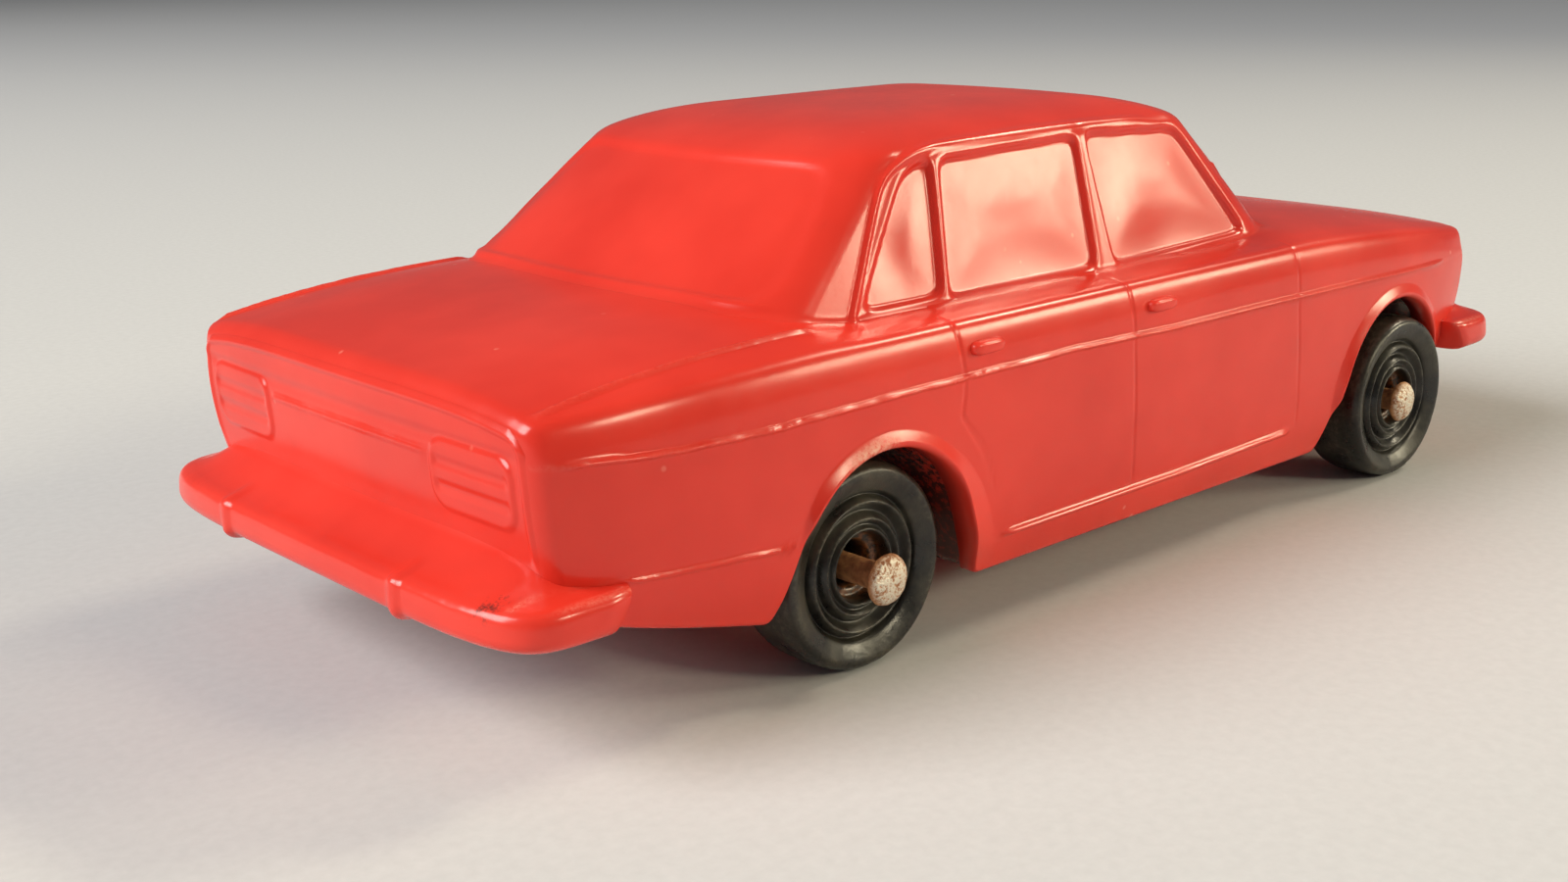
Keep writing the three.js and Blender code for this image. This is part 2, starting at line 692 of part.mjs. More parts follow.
function named(name, body, material) {
  const { vertProperties, triVerts } = body.getMesh();
  const geometry = new THREE.BufferGeometry();
  geometry.setAttribute("position", new THREE.BufferAttribute(Float32Array.from(vertProperties), 3));
  geometry.setIndex([...triVerts]);
  geometry.computeVertexNormals();
  const mesh = new THREE.Mesh(geometry, material);
  mesh.name = name;
  return mesh;
}

const red = () => new THREE.MeshStandardMaterial({ color: 0xd8372c, roughness: 0.35, metalness: 0 });
const black = () => new THREE.MeshStandardMaterial({ color: 0x161616, roughness: 0.45, metalness: 0 });
const steel = () => new THREE.MeshStandardMaterial({ color: 0x9a6a48, roughness: 0.55, metalness: 0.8 });

const car = new THREE.Group();
car.name = "toy_car";
car.add(
  named("body_shell", bodyShell(), red()),
  named("rear_axle", axle(rearAxleX), steel()),
  named("front_axle", axle(frontAxleX), steel()),
  named("wheel_rear_right", wheel(rearAxleX, rearWheelFace, -1), black()),
  named("wheel_rear_left", wheel(rearAxleX, rearWheelFace, 1), black()),
  named("wheel_front_right", wheel(frontAxleX, frontWheelFace, -1), black()),
  named("wheel_front_left", wheel(frontAxleX, frontWheelFace, 1), black()),
);

export default car;
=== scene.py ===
import math

import bmesh
import bpy
import numpy as np
from mathutils import Matrix, Vector


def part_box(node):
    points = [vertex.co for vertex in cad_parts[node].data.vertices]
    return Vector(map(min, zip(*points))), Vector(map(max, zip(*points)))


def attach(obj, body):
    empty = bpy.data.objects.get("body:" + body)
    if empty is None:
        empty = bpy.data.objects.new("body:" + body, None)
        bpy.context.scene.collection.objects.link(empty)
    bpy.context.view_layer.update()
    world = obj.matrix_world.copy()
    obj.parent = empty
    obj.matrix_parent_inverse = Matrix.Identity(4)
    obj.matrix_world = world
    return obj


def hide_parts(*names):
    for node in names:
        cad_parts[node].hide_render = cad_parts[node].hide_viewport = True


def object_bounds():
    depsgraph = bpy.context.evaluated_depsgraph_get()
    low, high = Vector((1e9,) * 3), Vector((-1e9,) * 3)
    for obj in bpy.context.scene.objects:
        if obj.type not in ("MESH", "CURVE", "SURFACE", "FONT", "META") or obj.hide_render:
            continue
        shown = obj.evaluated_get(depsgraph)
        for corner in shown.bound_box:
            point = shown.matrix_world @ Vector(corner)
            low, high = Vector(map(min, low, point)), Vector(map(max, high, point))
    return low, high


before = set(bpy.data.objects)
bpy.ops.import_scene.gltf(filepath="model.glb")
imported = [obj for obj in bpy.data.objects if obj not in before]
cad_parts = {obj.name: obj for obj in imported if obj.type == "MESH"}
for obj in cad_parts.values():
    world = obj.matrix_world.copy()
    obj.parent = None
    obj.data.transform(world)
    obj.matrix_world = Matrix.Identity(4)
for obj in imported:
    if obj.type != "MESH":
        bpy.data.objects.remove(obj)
cadLow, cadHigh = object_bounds()
mm = 0.001  # shapes are worked out in millimetres and put into metres at the end


def nodeBox(node):  # lowest and highest corner of a solid, in millimetres
    return [np.array(corner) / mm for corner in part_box(node)]


boxLow, boxHigh = np.array(cadLow) / mm, np.array(cadHigh) / mm
rearAxleX, _, axleHeight = 0.5 * sum(nodeBox("rear_axle"))
frontAxleX = 0.5 * sum(nodeBox("front_axle"))[0]
print("frame loaded, box", np.round(boxLow, 2), np.round(boxHigh, 2))


# Camera at the photograph's place: yaw from +X towards +Y, pitch up, roll about the line of sight.
cameraView = {
    "place": (-133.594, -127.582, 59.656),
    "yaw": 47.955,
    "pitch": -15.626,
    "roll": -1.098,
    "lens": 41.88,
    "sensor": 36.0,
    "near": 0.005,
}


def makeCamera():
    # the axes of the view come from yaw and pitch; right and up are then turned by roll
    yaw, pitch, roll = [math.radians(cameraView[k]) for k in ("yaw", "pitch", "roll")]
    ahead = Vector((math.cos(pitch) * math.cos(yaw), math.cos(pitch) * math.sin(yaw), math.sin(pitch)))
    right = Vector((math.sin(yaw), -math.cos(yaw), 0.0))
    up = right.cross(ahead)
    turnedRight = right * math.cos(roll) + up * math.sin(roll)
    turnedUp = up * math.cos(roll) - right * math.sin(roll)
    data = bpy.data.cameras.new("camera")
    data.lens = cameraView["lens"]
    data.sensor_width = cameraView["sensor"]
    data.clip_start = cameraView["near"]
    camera = bpy.data.objects.new("camera", data)
    turn = Matrix((turnedRight, turnedUp, -ahead)).transposed().to_4x4()
    camera.matrix_world = Matrix.Translation(Vector(cameraView["place"]) * mm) @ turn
    bpy.context.scene.collection.objects.link(camera)
    bpy.context.scene.camera = camera
    print("camera placed")


makeCamera()


# Small shape words. Every one takes whole arrays.
def share(x, start, end):  # 0 at start, 1 at end, held beyond both
    return np.clip((x - start) / (end - start), 0, 1)


def soft(x, start, end):  # the same with a level start and finish
    t = share(x, start, end)
    return t * t * (3 - 2 * t)


def lerp(a, b, t):  # a at 0 and b at 1, in a straight line
    return a + (b - a) * t


def hump(distance, reach):  # raised cosine: 1 on the line, 0 from reach away
    return 0.5 + 0.5 * np.cos(np.pi * np.clip(np.abs(distance) / reach, 0, 1))


def wobble(x, start):  # four sines whose lengths share no factor, about -1 to 1
    waves = np.sin(0.61 * x + start) + 0.7 * np.sin(1.37 * x + 2.1 * start)
    return (waves + 0.5 * np.sin(3.11 * x + 3.7 * start) + 0.35 * np.sin(6.7 * x + 5.3 * start)) / 2.55


def softGreatest(values, blend):  # the greatest of several, its corners rounded by a log of summed powers
    most = np.max(values, axis=0)
    return most + blend * np.log(sum(np.exp((value - most) / blend) for value in values))


def insideOf(u, v, corners, rounding):
    # signed distance to a convex outline, negative inside: the soft greatest of the distances to its edges
    corners = np.array(corners, float)
    after = np.roll(corners, -1, axis=0)
    along = (after - corners) / np.linalg.norm(after - corners, axis=1, keepdims=True)
    turn = np.sign(np.sum(corners[:, 0] * after[:, 1] - corners[:, 1] * after[:, 0]))
    away = turn * np.stack([along[:, 1], -along[:, 0]], axis=1)
    edges = [(u - c[0]) * n[0] + (v - c[1]) * n[1] for c, n in zip(corners, away)]
    return softGreatest(edges, 0.35 * rounding)


def runs(spans):  # stretches of (from, to, points) joined end to end, each without its first point
    return np.concatenate([np.linspace(a, b, points)[1:] for a, b, points in spans])


def throughKnots(knots, place):
    # centripetal Catmull-Rom: each stretch is the cubic through its two knots whose end slopes come
    # from the square roots of the distances to the knots beside them
    first = 2 * knots[:, :1] - knots[:, 1:2]
    last = 2 * knots[:, -1:] - knots[:, -2:-1]
    row = np.concatenate([first, knots, last], axis=1)
    stretch = np.clip(np.floor(place).astype(int), 0, knots.shape[1] - 2)
    t = (place - stretch)[..., None]
    takes = [np.repeat((stretch + k)[..., None], 2, -1) for k in range(4)]
    p0, p1, p2, p3 = [np.take_along_axis(row, take, axis=1) for take in takes]
    d0, d1, d2 = [np.sqrt(np.linalg.norm(b - a, axis=-1, keepdims=True)) + 1e-9
                  for a, b in ((p0, p1), (p1, p2), (p2, p3))]
    m1 = ((p1 - p0) / d0 - (p2 - p0) / (d0 + d1) + (p2 - p1) / d1) * d1
    m2 = ((p2 - p1) / d1 - (p3 - p1) / (d1 + d2) + (p3 - p2) / d2) * d1
    return p1 + m1 * t + (3 * (p2 - p1) - 2 * m1 - m2) * t ** 2 + (2 * (p1 - p2) + m1 + m2) * t ** 3


def gridNormals(points):
    # cross product of the two central differences; the columns run round
    across = np.roll(points, -1, axis=1) - np.roll(points, 1, axis=1)
    normal = np.cross(across, np.gradient(points, axis=0))
    return normal / (np.linalg.norm(normal, axis=-1, keepdims=True) + 1e-12)


def makePiece(name, sheets, body, node, material, marks, flip=False):
    # each sheet is a grid (rows, columns, 3) with a quad in every cell; equal points are welded, so a
    # row that runs to a point becomes a closed pole and a last column on the first a closed seam
    points, quads, start = [], [], 0
    for sheet in sheets:
        rows, columns = sheet.shape[:2]
        index = start + np.arange(rows * columns).reshape(rows, columns)
        cells = [index[:-1, :-1], index[:-1, 1:], index[1:, 1:], index[1:, :-1]]
        quads.append(np.stack(cells[::-1] if flip else cells, axis=-1).reshape(-1, 4))
        points.append(sheet.reshape(-1, 3))
        start += rows * columns
    points, quads = np.concatenate(points) * mm, np.concatenate(quads)
    mesh = bpy.data.meshes.new(name)
    mesh.vertices.add(len(points))
    mesh.vertices.foreach_set("co", points.astype(np.float32).ravel())
    mesh.loops.add(quads.size)
    mesh.loops.foreach_set("vertex_index", quads.astype(np.int32).ravel())
    mesh.polygons.add(len(quads))
    mesh.polygons.foreach_set("loop_start", (4 * np.arange(len(quads))).astype(np.int32))
    mesh.update(calc_edges=True)
    for mark, values in marks.items():
        layer = mesh.attributes.new(mark, "FLOAT", "POINT")
        layer.data.foreach_set("value", np.asarray(values, np.float32).ravel())
    work = bmesh.new()
    work.from_mesh(mesh)
    bmesh.ops.remove_doubles(work, verts=work.verts, dist=2e-7)
    bmesh.ops.dissolve_degenerate(work, edges=work.edges, dist=1e-8)
    work.to_mesh(mesh)
    work.free()
    mesh.validate()
    mesh.polygons.foreach_set("use_smooth", np.ones(len(mesh.polygons), bool))
    mesh.materials.append(material)
    piece = bpy.data.objects.new(name, mesh)
    bpy.context.scene.collection.objects.link(piece)
    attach(piece, body)
    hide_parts(node)
    print("piece", name, len(mesh.polygons), "faces")
    return piece


def closedTube(rings):
    # rings (stations, points, 3): the first point is repeated to close each ring, and each end is closed
    # by a last ring drawn together at its own middle
    rings = np.concatenate([rings, rings[:, :1]], axis=1)
    ends = [np.repeat(rings[k, :-1].mean(axis=0)[None, None], rings.shape[1], axis=1) for k in (0, -1)]
    return np.concatenate([ends[0], rings, ends[1]])


# Shader words: a socket that takes part in sums, each operator adding one Math node.
class Wire:
    def __init__(self, tree, socket):
        self.tree = tree
        self.socket = socket

    def node(self, kind, settings=None, inputs=None, out=0):
        # any other node: settings are set first, then values or links by socket name or number
        made = self.tree.nodes.new(kind)
        for key, value in (settings or {}).items():
            setattr(made, key, value)
        for key, value in (inputs or {}).items():
            if isinstance(value, Wire):
                self.tree.links.new(value.socket, made.inputs[key])
            else:
                made.inputs[key].default_value = value
        return Wire(self.tree, made.outputs[out])

    def math(self, operation, *values):
        return self.node("ShaderNodeMath", {"operation": operation}, dict(enumerate(values)))

    def __add__(self, other):
        return self.math("ADD", self, other)

    def __radd__(self, other):
        return self.math("ADD", other, self)

    def __sub__(self, other):
        return self.math("SUBTRACT", self, other)

    def __rsub__(self, other):
        return self.math("SUBTRACT", other, self)

    def __mul__(self, other):
        return self.math("MULTIPLY", self, other)

    def __rmul__(self, other):
        return self.math("MULTIPLY", other, self)

    def clip(self, low, high):  # 0 at low, 1 at high
        inputs = {"Value": self, "From Min": low, "From Max": high}
        return self.node("ShaderNodeMapRange", {"clamp": True}, inputs)

    def noise(self, scale, detail=3.0, roughness=0.55):  # soft random field, about 0.3 to 0.7
        inputs = {"Vector": self, "Scale": scale, "Detail": detail, "Roughness": roughness}
        return self.node("ShaderNodeTexNoise", None, inputs)

    def cells(self, scale):  # distance to the nearest of scattered points
        return self.node("ShaderNodeTexVoronoi", None, {"Vector": self, "Scale": scale})

    def mark(self, name):  # a value kept on the piece's own points
        return self.node("ShaderNodeAttribute", {"attribute_name": name}, None, 2)

    def mix(self, factor, first, second):  # two colours by a factor
        return self.node("ShaderNodeMix", {"data_type": "RGBA"}, {0: factor, 6: first, 7: second}, 2)

    def bump(self, height, strength, distance):  # normals of a surface raised by a height
        inputs = {"Strength": strength, "Distance": distance, "Height": height}
        return self.node("ShaderNodeBump", None, inputs)


def newMaterial(name):  # an empty tree, its Object coordinates and a shader already on the output
    material = bpy.data.materials.new(name)
    material.use_nodes = True
    tree = material.node_tree
    tree.nodes.clear()
    shader = tree.nodes.new("ShaderNodeBsdfPrincipled")
    output = tree.nodes.new("ShaderNodeOutputMaterial")
    tree.links.new(shader.outputs[0], output.inputs[0])
    where = Wire(tree, tree.nodes.new("ShaderNodeTexCoord").outputs["Object"])
    return material, where, shader


def connect(where, shader, sockets):  # a wire is linked to its socket, a plain value set on it
    for key, value in sockets.items():
        if isinstance(value, Wire):
            where.tree.links.new(value.socket, shader.inputs[key])
        else:
            shader.inputs[key].default_value = value


# Red soft vinyl: slow cloudy change of tone, pale specks, rubbed edges with painted highlights, dark soil
# with painted shade and a faintly uneven skin. Scales are cells to the metre.
vinylLook = {
    "deep": (0.70, 0.034, 0.019, 1.0),
    "bright": (0.81, 0.047, 0.027, 1.0),
    # pale vinyl for rubbed places and for painted highlights
    "rubAndHighlightTone": (0.90, 0.46, 0.34, 1.0),
    # near black for the bumper scuff and for painted shade in the wheel wells
    "soilAndShadeTone": (0.10, 0.022, 0.018, 1.0),
    "speck": (0.92, 0.34, 0.24, 1.0),
    "speckStrength": 0.4,
    "roughness": 0.19,
    "skin": 0.022,
    "skinDepth": 0.0006,
    "cloudScale": 55.0,
    "fineScale": 900.0,
    "speckScale": 300.0,
    "speckPatchScale": 120.0,
    "grainScale": 2600.0,
    "soilAndShadeScale": 1500.0,
    "skinScale": 200.0,
    "ior": 1.47,
    "subsurface": 0.12,
    "subsurfaceRadius": (0.0012, 0.0003, 0.0002),
}


def makeVinyl():
    # two reds mixed by the cloud, then specks, rub with painted highlights and soil with painted shade laid
    # over them; rub and grain dull the shine
    f = vinylLook
    material, where, shader = newMaterial("redVinyl")
    cloud = where.noise(f["cloudScale"], 3.0)
    fine = where.noise(f["fineScale"], 2.0)
    tone = where.mix(cloud.clip(0.35, 0.65), f["deep"], f["bright"])
    speck = where.cells(f["speckScale"]).clip(0.09, 0.04) * where.noise(f["speckPatchScale"]).clip(0.56, 0.62)
    tone = where.mix(speck * f["speckStrength"], tone, f["speck"])
    grain = where.noise(f["grainScale"], 3.0, 0.7)
    # rub mark: worn pale vinyl, and painted highlights along the lid lines, the waist bead and a bumper glint
    rubAndHighlight = where.mark("rubAndHighlight") * grain.clip(0.32, 0.62)
    tone = where.mix(rubAndHighlight, tone, f["rubAndHighlightTone"])
    # soil mark: a real scuff on the rear bumper, and painted shade deep in the wheel wells, broken up by
    # noise
    soilAndShadeNoise = where.noise(f["soilAndShadeScale"], 3.0, 0.7)
    soilAndShade = (where.mark("soilAndShade") + soilAndShadeNoise.clip(0.42, 0.60)).clip(1.0, 2.0)
    tone = where.mix(soilAndShade, tone, f["soilAndShadeTone"])
    rough = f["roughness"] + 0.05 * cloud.clip(0.3, 0.7) + 0.03 * fine.clip(0.4, 0.7) + 0.25 * rubAndHighlight
    skin = where.noise(f["skinScale"], 2.0) + 0.18 * fine
    sockets = {
        "Base Color": tone,
        "Roughness": rough,
        "Normal": where.bump(skin, f["skin"], f["skinDepth"]),
        "IOR": f["ior"],
        "Subsurface Weight": f["subsurface"],
        "Subsurface Scale": 1.0,
        "Subsurface Radius": f["subsurfaceRadius"],
    }
    connect(where, shader, sockets)
    return material


# Black moulded plastic: near black, greyed and duller where the raised rings have rubbed.
wheelLook = {
    "black": (0.012, 0.011, 0.009, 1.0),
    "dusty": (0.052, 0.047, 0.033, 1.0),
    "rubAndHighlightTone": (0.17, 0.155, 0.11, 1.0),
    "rust": (0.26, 0.10, 0.034, 1.0),
    "roughness": 0.25,
    "patchScale": 260.0,
    "gritScale": 2200.0,
    "skin": 0.16,
    "skinDepth": 0.0004,
    "ior": 1.48,
}


def makeWheelPlastic():
    # black and dust mixed by the patches, then rub and rust where the marks and the grit agree
    f = wheelLook
    material, where, shader = newMaterial("blackPlastic")
    patch = where.noise(f["patchScale"], 4.0, 0.6)
    grit = where.noise(f["gritScale"], 3.0, 0.7)
    tone = where.mix(patch.clip(0.42, 0.72), f["black"], f["dusty"])
    # on the wheels the rub mark is wear on the raised rings and the tread
    rubAndHighlight = where.mark("rubAndHighlight") * grit.clip(0.46, 0.66) * patch.clip(0.35, 0.6)
    tone = where.mix(rubAndHighlight, tone, f["rubAndHighlightTone"])
    tone = where.mix(where.mark("rust") * grit.clip(0.38, 0.6), tone, f["rust"])
    rough = f["roughness"] + 0.16 * patch.clip(0.35, 0.7) + 0.20 * rubAndHighlight
    sockets = {
        "Base Color": tone,
        "Roughness": rough,
        "Normal": where.bump(patch + 0.35 * grit, f["skin"], f["skinDepth"]),
        "IOR": f["ior"],
    }
    connect(where, shader, sockets)
    return material


# Rusted steel rod: two browns in patches, with bare bright metal on the worn head.
axleLook = {
    "dark": (0.31, 0.115, 0.042, 1.0),
    "orange": (0.63, 0.30, 0.125, 1.0),
    "bare": (0.77, 0.71, 0.60, 1.0),
    "patchScale": 900.0,
    "pitScale": 3600.0,
    "roughness": 0.70,
    "bareShine": 0.33,
    "metal": 0.05,
    "bareMetal": 0.55,
    "skin": 0.45,
    "skinDepth": 0.0003,
}


def makeRustedSteel():
    # two browns mixed by the patches; worn places show bare metal between the pits
    f = axleLook
    material, where, shader = newMaterial("rustedSteel")
    patch = where.noise(f["patchScale"], 4.0, 0.65)
    pits = where.noise(f["pitScale"], 3.0, 0.7)
    tone = where.mix(patch.clip(0.36, 0.62), f["dark"], f["orange"])
    bare = where.mark("worn") * (0.7 * pits + 0.5 * patch).clip(0.50, 0.64)
    tone = where.mix(bare, tone, f["bare"])
    sockets = {
        "Base Color": tone,
        "Metallic": f["metal"] + f["bareMetal"] * bare,
        "Roughness": f["roughness"] - f["bareShine"] * bare,
        "Normal": where.bump(pits + patch, f["skin"], f["skinDepth"]),
    }
    connect(where, shader, sockets)
    return material


redVinyl = makeVinyl()
blackPlastic = makeWheelPlastic()
rustedSteel = makeRustedSteel()
print("materials made")


def makeMoulding(name, sheets, rubAndHighlight=0.0, soilAndShade=0.0, flip=False):
    # a piece of the red moulding; one value of a mark is spread over all its points
    points = sum(sheet.shape[0] * sheet.shape[1] for sheet in sheets)
    # rub holds wear and painted highlights; soil holds dirt and painted shade
    marks = {"rubAndHighlight": np.zeros(points) + np.ravel(rubAndHighlight), "soilAndShade": np.zeros(points) + np.ravel(soilAndShade)}
    return makePiece(name, sheets, "body", "body_shell", redVinyl, marks, flip)


# Lower body: heights and half widths along the car, as the solids have them. Close stations are (from, to,
# step) along the car, and runs are (from, to, points) along the knots of a section.
bodyForm = {
    "halfWidth": 28.5,
    "sill": 5.2,
    "waist": 23.5,
    "shoulder": 28.3,
    "tailUnder": 11.9,
    "noseUnder": 12.7,
    "tailRiseGap": 3.1,
    "rearBumperReach": 4.7,
    "frontBumperReach": 4.45,
    "deckCrown": 2.5,
    "bonnetCrown": 1.9,
    "tailCrown": 1.2,
    "noseCrown": 0.7,
    "tailDrop": 1.4,
    "noseDrop": 3.1,
    "tailNarrowing": 2.6,
    "noseNarrowing": 2.8,
    "tailNarrowFrom": -40.9,
    "noseNarrowFrom": 34.1,
    "tailDropFrom": -36.9,
    "noseDropFrom": 21.1,
    "sillTuck": 1.5,
    "rounding": 1.3,
    "tailBow": 0.6,
    "noseBow": 1.3,
    "lean": 1.9,
    "wall": 2.0,
    "edgeRounding": 0.6,
    "deckEdge": 1.0,
    "deckPower": 4.5,
    "besidePower": 3.1,
    "besideFrom": (-40, -31),
    "besideTo": (30, 22),
    "leanHeight": 11.0,
    "reliefFrom": (25, 26.5),
    "cabinKnot": 5.8,
    "underCabin": 1.1,
    "innerStep": 6,
    "endSteps": 7,
    "rimTurns": (90, 66, 44, 22),
    "leastStep": 0.05,
    "stationStep": 0.52,
    "closeStations": ((-25.2, -19.4, 0.15), (55.4, 58.2, 0.15), (-46.2, -41.5, 0.22), (32.0, 37.0, 0.25),
                      (-1.5, 0.3, 0.14), (25.6, 27.7, 0.15)),
    "sideRuns": ((0, 0.21, 8), (0.21, 0.34, 12), (0.34, 0.4, 4), (0.4, 0.56, 17), (0.56, 1, 11)),
    "deckRuns": ((3, 3.22, 3), (3.22, 3.58, 15), (3.58, 4, 5), (4, 5, 8), (5, 6, 8), (6, 7, 12), (7, 10, 11)),
}
tailX = boxLow[0] + bodyForm["rearBumperReach"]
noseX = boxHigh[0] - bodyForm["frontBumperReach"]


def tailShare(x, start):  # 0 ahead of a named station, 1 at the tail
    return share(x, bodyForm[start], tailX)


def noseShare(x, start):  # 0 behind a named station, 1 at the nose
    return share(x, bodyForm[start], noseX)


def halfWidthAt(x):  # full width, less a cubic at the tail and a 2.5 power at the nose
    narrow = bodyForm["tailNarrowing"] * tailShare(x, "tailNarrowFrom") ** 3
    return bodyForm["halfWidth"] - narrow - bodyForm["noseNarrowing"] * noseShare(x, "noseNarrowFrom") ** 2.5


def shoulderAt(x):  # level, falling as a square towards each end
    drop = bodyForm["tailDrop"] * tailShare(x, "tailDropFrom") ** 2
    return bodyForm["shoulder"] - drop - bodyForm["noseDrop"] * noseShare(x, "noseDropFrom") ** 2


def crownAt(x):  # rise of the deck over its edges: straight from boot to bonnet, less a square at each end
    middle = share(x, bodyForm["tailDropFrom"], bodyForm["noseDropFrom"])
    base = lerp(bodyForm["deckCrown"], bodyForm["bonnetCrown"], middle)
    tail = (bodyForm["deckCrown"] - bodyForm["tailCrown"]) * tailShare(x, "tailDropFrom") ** 2
    return base - tail - (bodyForm["bonnetCrown"] - bodyForm["noseCrown"]) * noseShare(x, "noseDropFrom") ** 2


def underAt(x):  # the lower edge: the sill, rising in a straight line behind and ahead of the wheels
    f = bodyForm
    tail = (f["tailUnder"] - f["sill"]) * share(x, rearAxleX - f["tailRiseGap"], tailX)
    return f["sill"] + tail + (f["noseUnder"] - f["sill"]) * share(x, frontAxleX, noseX)


def deckAt(x, y):
    # deck height: shoulder plus the crown times one less a power across, a lower power beside the cabin
    f = bodyForm
    across = np.clip(np.abs(y) / (halfWidthAt(x) - f["deckEdge"]), 0, 1)
    power = f["deckPower"] - f["besidePower"] * soft(x, *f["besideFrom"]) * soft(x, *f["besideTo"])
    return shoulderAt(x) + crownAt(x) * (1 - across ** power)


def sectionKnots(x):  # half section from the sill up the side to the middle of the deck, as (y, z) knots
    b, s, low, high = halfWidthAt(x), shoulderAt(x), underAt(x), bodyForm["waist"] - 1.5 + 0 * x
    edge, tuck = b - bodyForm["deckEdge"], bodyForm["sillTuck"]
    ys = [b - tuck, b - 0.37 * tuck, b - 0.05 * tuck, b, b - 0.25, edge, b - 2.6,
          0.86 * edge, 0.6 * edge, 0.3 * edge, 0 * edge]
    zs = [low, lerp(low, high, 0.22), lerp(low, high, 0.58), high, s - 2.2, s - 0.25]
    zs += [deckAt(x, y) for y in ys[6:]]
    return np.stack([np.stack(ys, axis=1), np.stack(zs, axis=1)], axis=-1)


def bowAt(x, y, z):  # how far an end face stands in: a square across, and a square lean below the waist
    f = bodyForm
    tail, nose = tailShare(x, "tailNarrowFrom") ** 4, noseShare(x, "noseNarrowFrom") ** 4
    across = (y / f["halfWidth"]) ** 2
    lean = f["lean"] * np.clip((f["waist"] - z) / f["leanHeight"], 0, 1) ** 2
    return tail * (f["tailBow"] * across + lean) - nose * (f["noseBow"] * across + lean)


# Wheel arches: a round top with a straight slanting edge on each side. Lip ends are angles round the arch.
archForm = {
    "height": 9.3,
    "rearRadius": 10.0,
    "frontRadius": 10.8,
    "rearShift": 0.8,
    "frontShift": -0.7,
    "rearSlant": math.radians(157),
    "frontSlant": math.radians(20),
    "footRounding": 0.4,
    "lipWidth": 1.25,
    "lipRaise": 0.8,
    "rearLipEnds": (166, 128),
    "frontLipEnds": (188, 160),
    "lipBroadens": (55, 5),
    "lipBroadening": 0.9,
    "lipHeights": (5.5, 10.5),
}
arches = [
    (rearAxleX + archForm["rearShift"], archForm["rearRadius"]),
    (frontAxleX + archForm["frontShift"], archForm["frontRadius"]),
]


def archEdge(x, middle, radius):  # height of the outline over x: part of a circle, straight beyond its slants
    slants = (archForm["frontSlant"], archForm["rearSlant"])
    (frontX, frontZ), (rearX, rearZ) = [(middle + radius * math.cos(a), radius * math.sin(a)) for a in slants]
    top = np.sqrt(np.clip(radius ** 2 - (x - middle) ** 2, 0, None))
    front = frontZ - (x - frontX) / math.tan(archForm["frontSlant"])
    rear = rearZ + (rearX - x) / math.tan(archForm["rearSlant"])
    return archForm["height"] + np.where(x > frontX, front, np.where(x < rearX, rear, top))


def archAngle(x, z, middle):  # angle round the arch from its front, running on past the rear
    angle = np.arctan2(z - archForm["height"], x - middle)
    return np.where(angle < -0.5 * np.pi, angle + 2 * np.pi, angle)


def archDistance(x, z, middle, radius):  # distance outside the outline, along its normal at that angle
    angle = np.clip(archAngle(x, z, middle), archForm["frontSlant"], archForm["rearSlant"])
    return (x - middle) * np.cos(angle) + (z - archForm["height"]) * np.sin(angle) - radius


def archLip(x, z, middle, radius):
    # raised band round the arch: it dies out towards the rear foot and broadens towards the front one
    f = archForm
    angle = np.degrees(archAngle(x, z, middle))
    rear = soft(angle, *f["rearLipEnds" if middle < 0 else "frontLipEnds"])
    width = f["lipWidth"] * rear * (1 + f["lipBroadening"] * soft(angle, *f["lipBroadens"]))
    band = np.clip(1 - archDistance(x, z, middle, radius) / (width + 0.3), 0, 1) ** 1.2
    return band * soft(width, 0.1, 0.9) * soft(z, *f["lipHeights"])


def lowEdgeAt(x):  # lower edge of the side: the sill line or the arch over it, their corners rounded
    edges = [archEdge(x, middle, radius) for middle, radius in arches]
    return softGreatest([underAt(x)] + edges, archForm["footRounding"])


# Raised and sunk lines of the sides and the deck: knots along the car are (x, z), down it (z, x). Ends are
# where a line fades in and out, measured from its first and last knot.
trimForm = {
    "waistLine": ((-64.6, 23.9), (-54, 23.5), (-44, 23.4), (-33.7, 23.6), (-9, 23.7), (5, 23.35), (21, 23.3),
                  (40, 23.1), (58, 22.6)),
    "waistEnds": (0, 3, 0, -4),
    "waistRaise": 0.33,
    "waistReach": 0.38,
    "sillLine": ((-17.8, 8.6), (7, 8.7), (25.2, 9.1)),
    "sillEnds": (-0.6, 0.6, 1.5, -0.5),
    "sillRaise": 0.46,
    "sillReach": 0.5,
    "quarterLine": ((-60.2, 14.4), (-48.3, 13.9), (-43.4, 13.5)),
    "quarterEnds": (0, 2, 0.8, 0),
    "quarterRaise": 0.24,
    "quarterReach": 0.34,
    "gapReach": 0.34,
    "gapFoot": (-1.2, 0.8),
    "gapTop": (29.0, 27.8),
    "gaps": (
        {"line": ((13.9, -19.9), (17.4, -21.8), (20.4, -24.2), (22.8, -23.7), (28.2, -24.4)), "depth": 0.11},
        {"line": ((9.6, -0.1), (27.7, -1.1)), "depth": 0.09},
        {"line": ((10.0, 27.3), (22.5, 26.0)), "depth": 0.08},
    ),
    "unevenFrom": (12, -20),
    "lidLine": 24.4,
    "lidSpread": 0.004,
    "lidFrom": (-64.6, -63.4),
    "lidTo": (-37, -39),
    "lidRaise": 0.36,
    "lidReach": 0.4,
}


def alongLine(x, knots, ends):  # height of a line over x, and its fade at both ends
    first, last = knots[0][0], knots[-1][0]
    fade = soft(x, first + ends[0], first + ends[1]) * soft(x, last + ends[2], last + ends[3])
    return np.interp(x, *np.transpose(knots)), fade


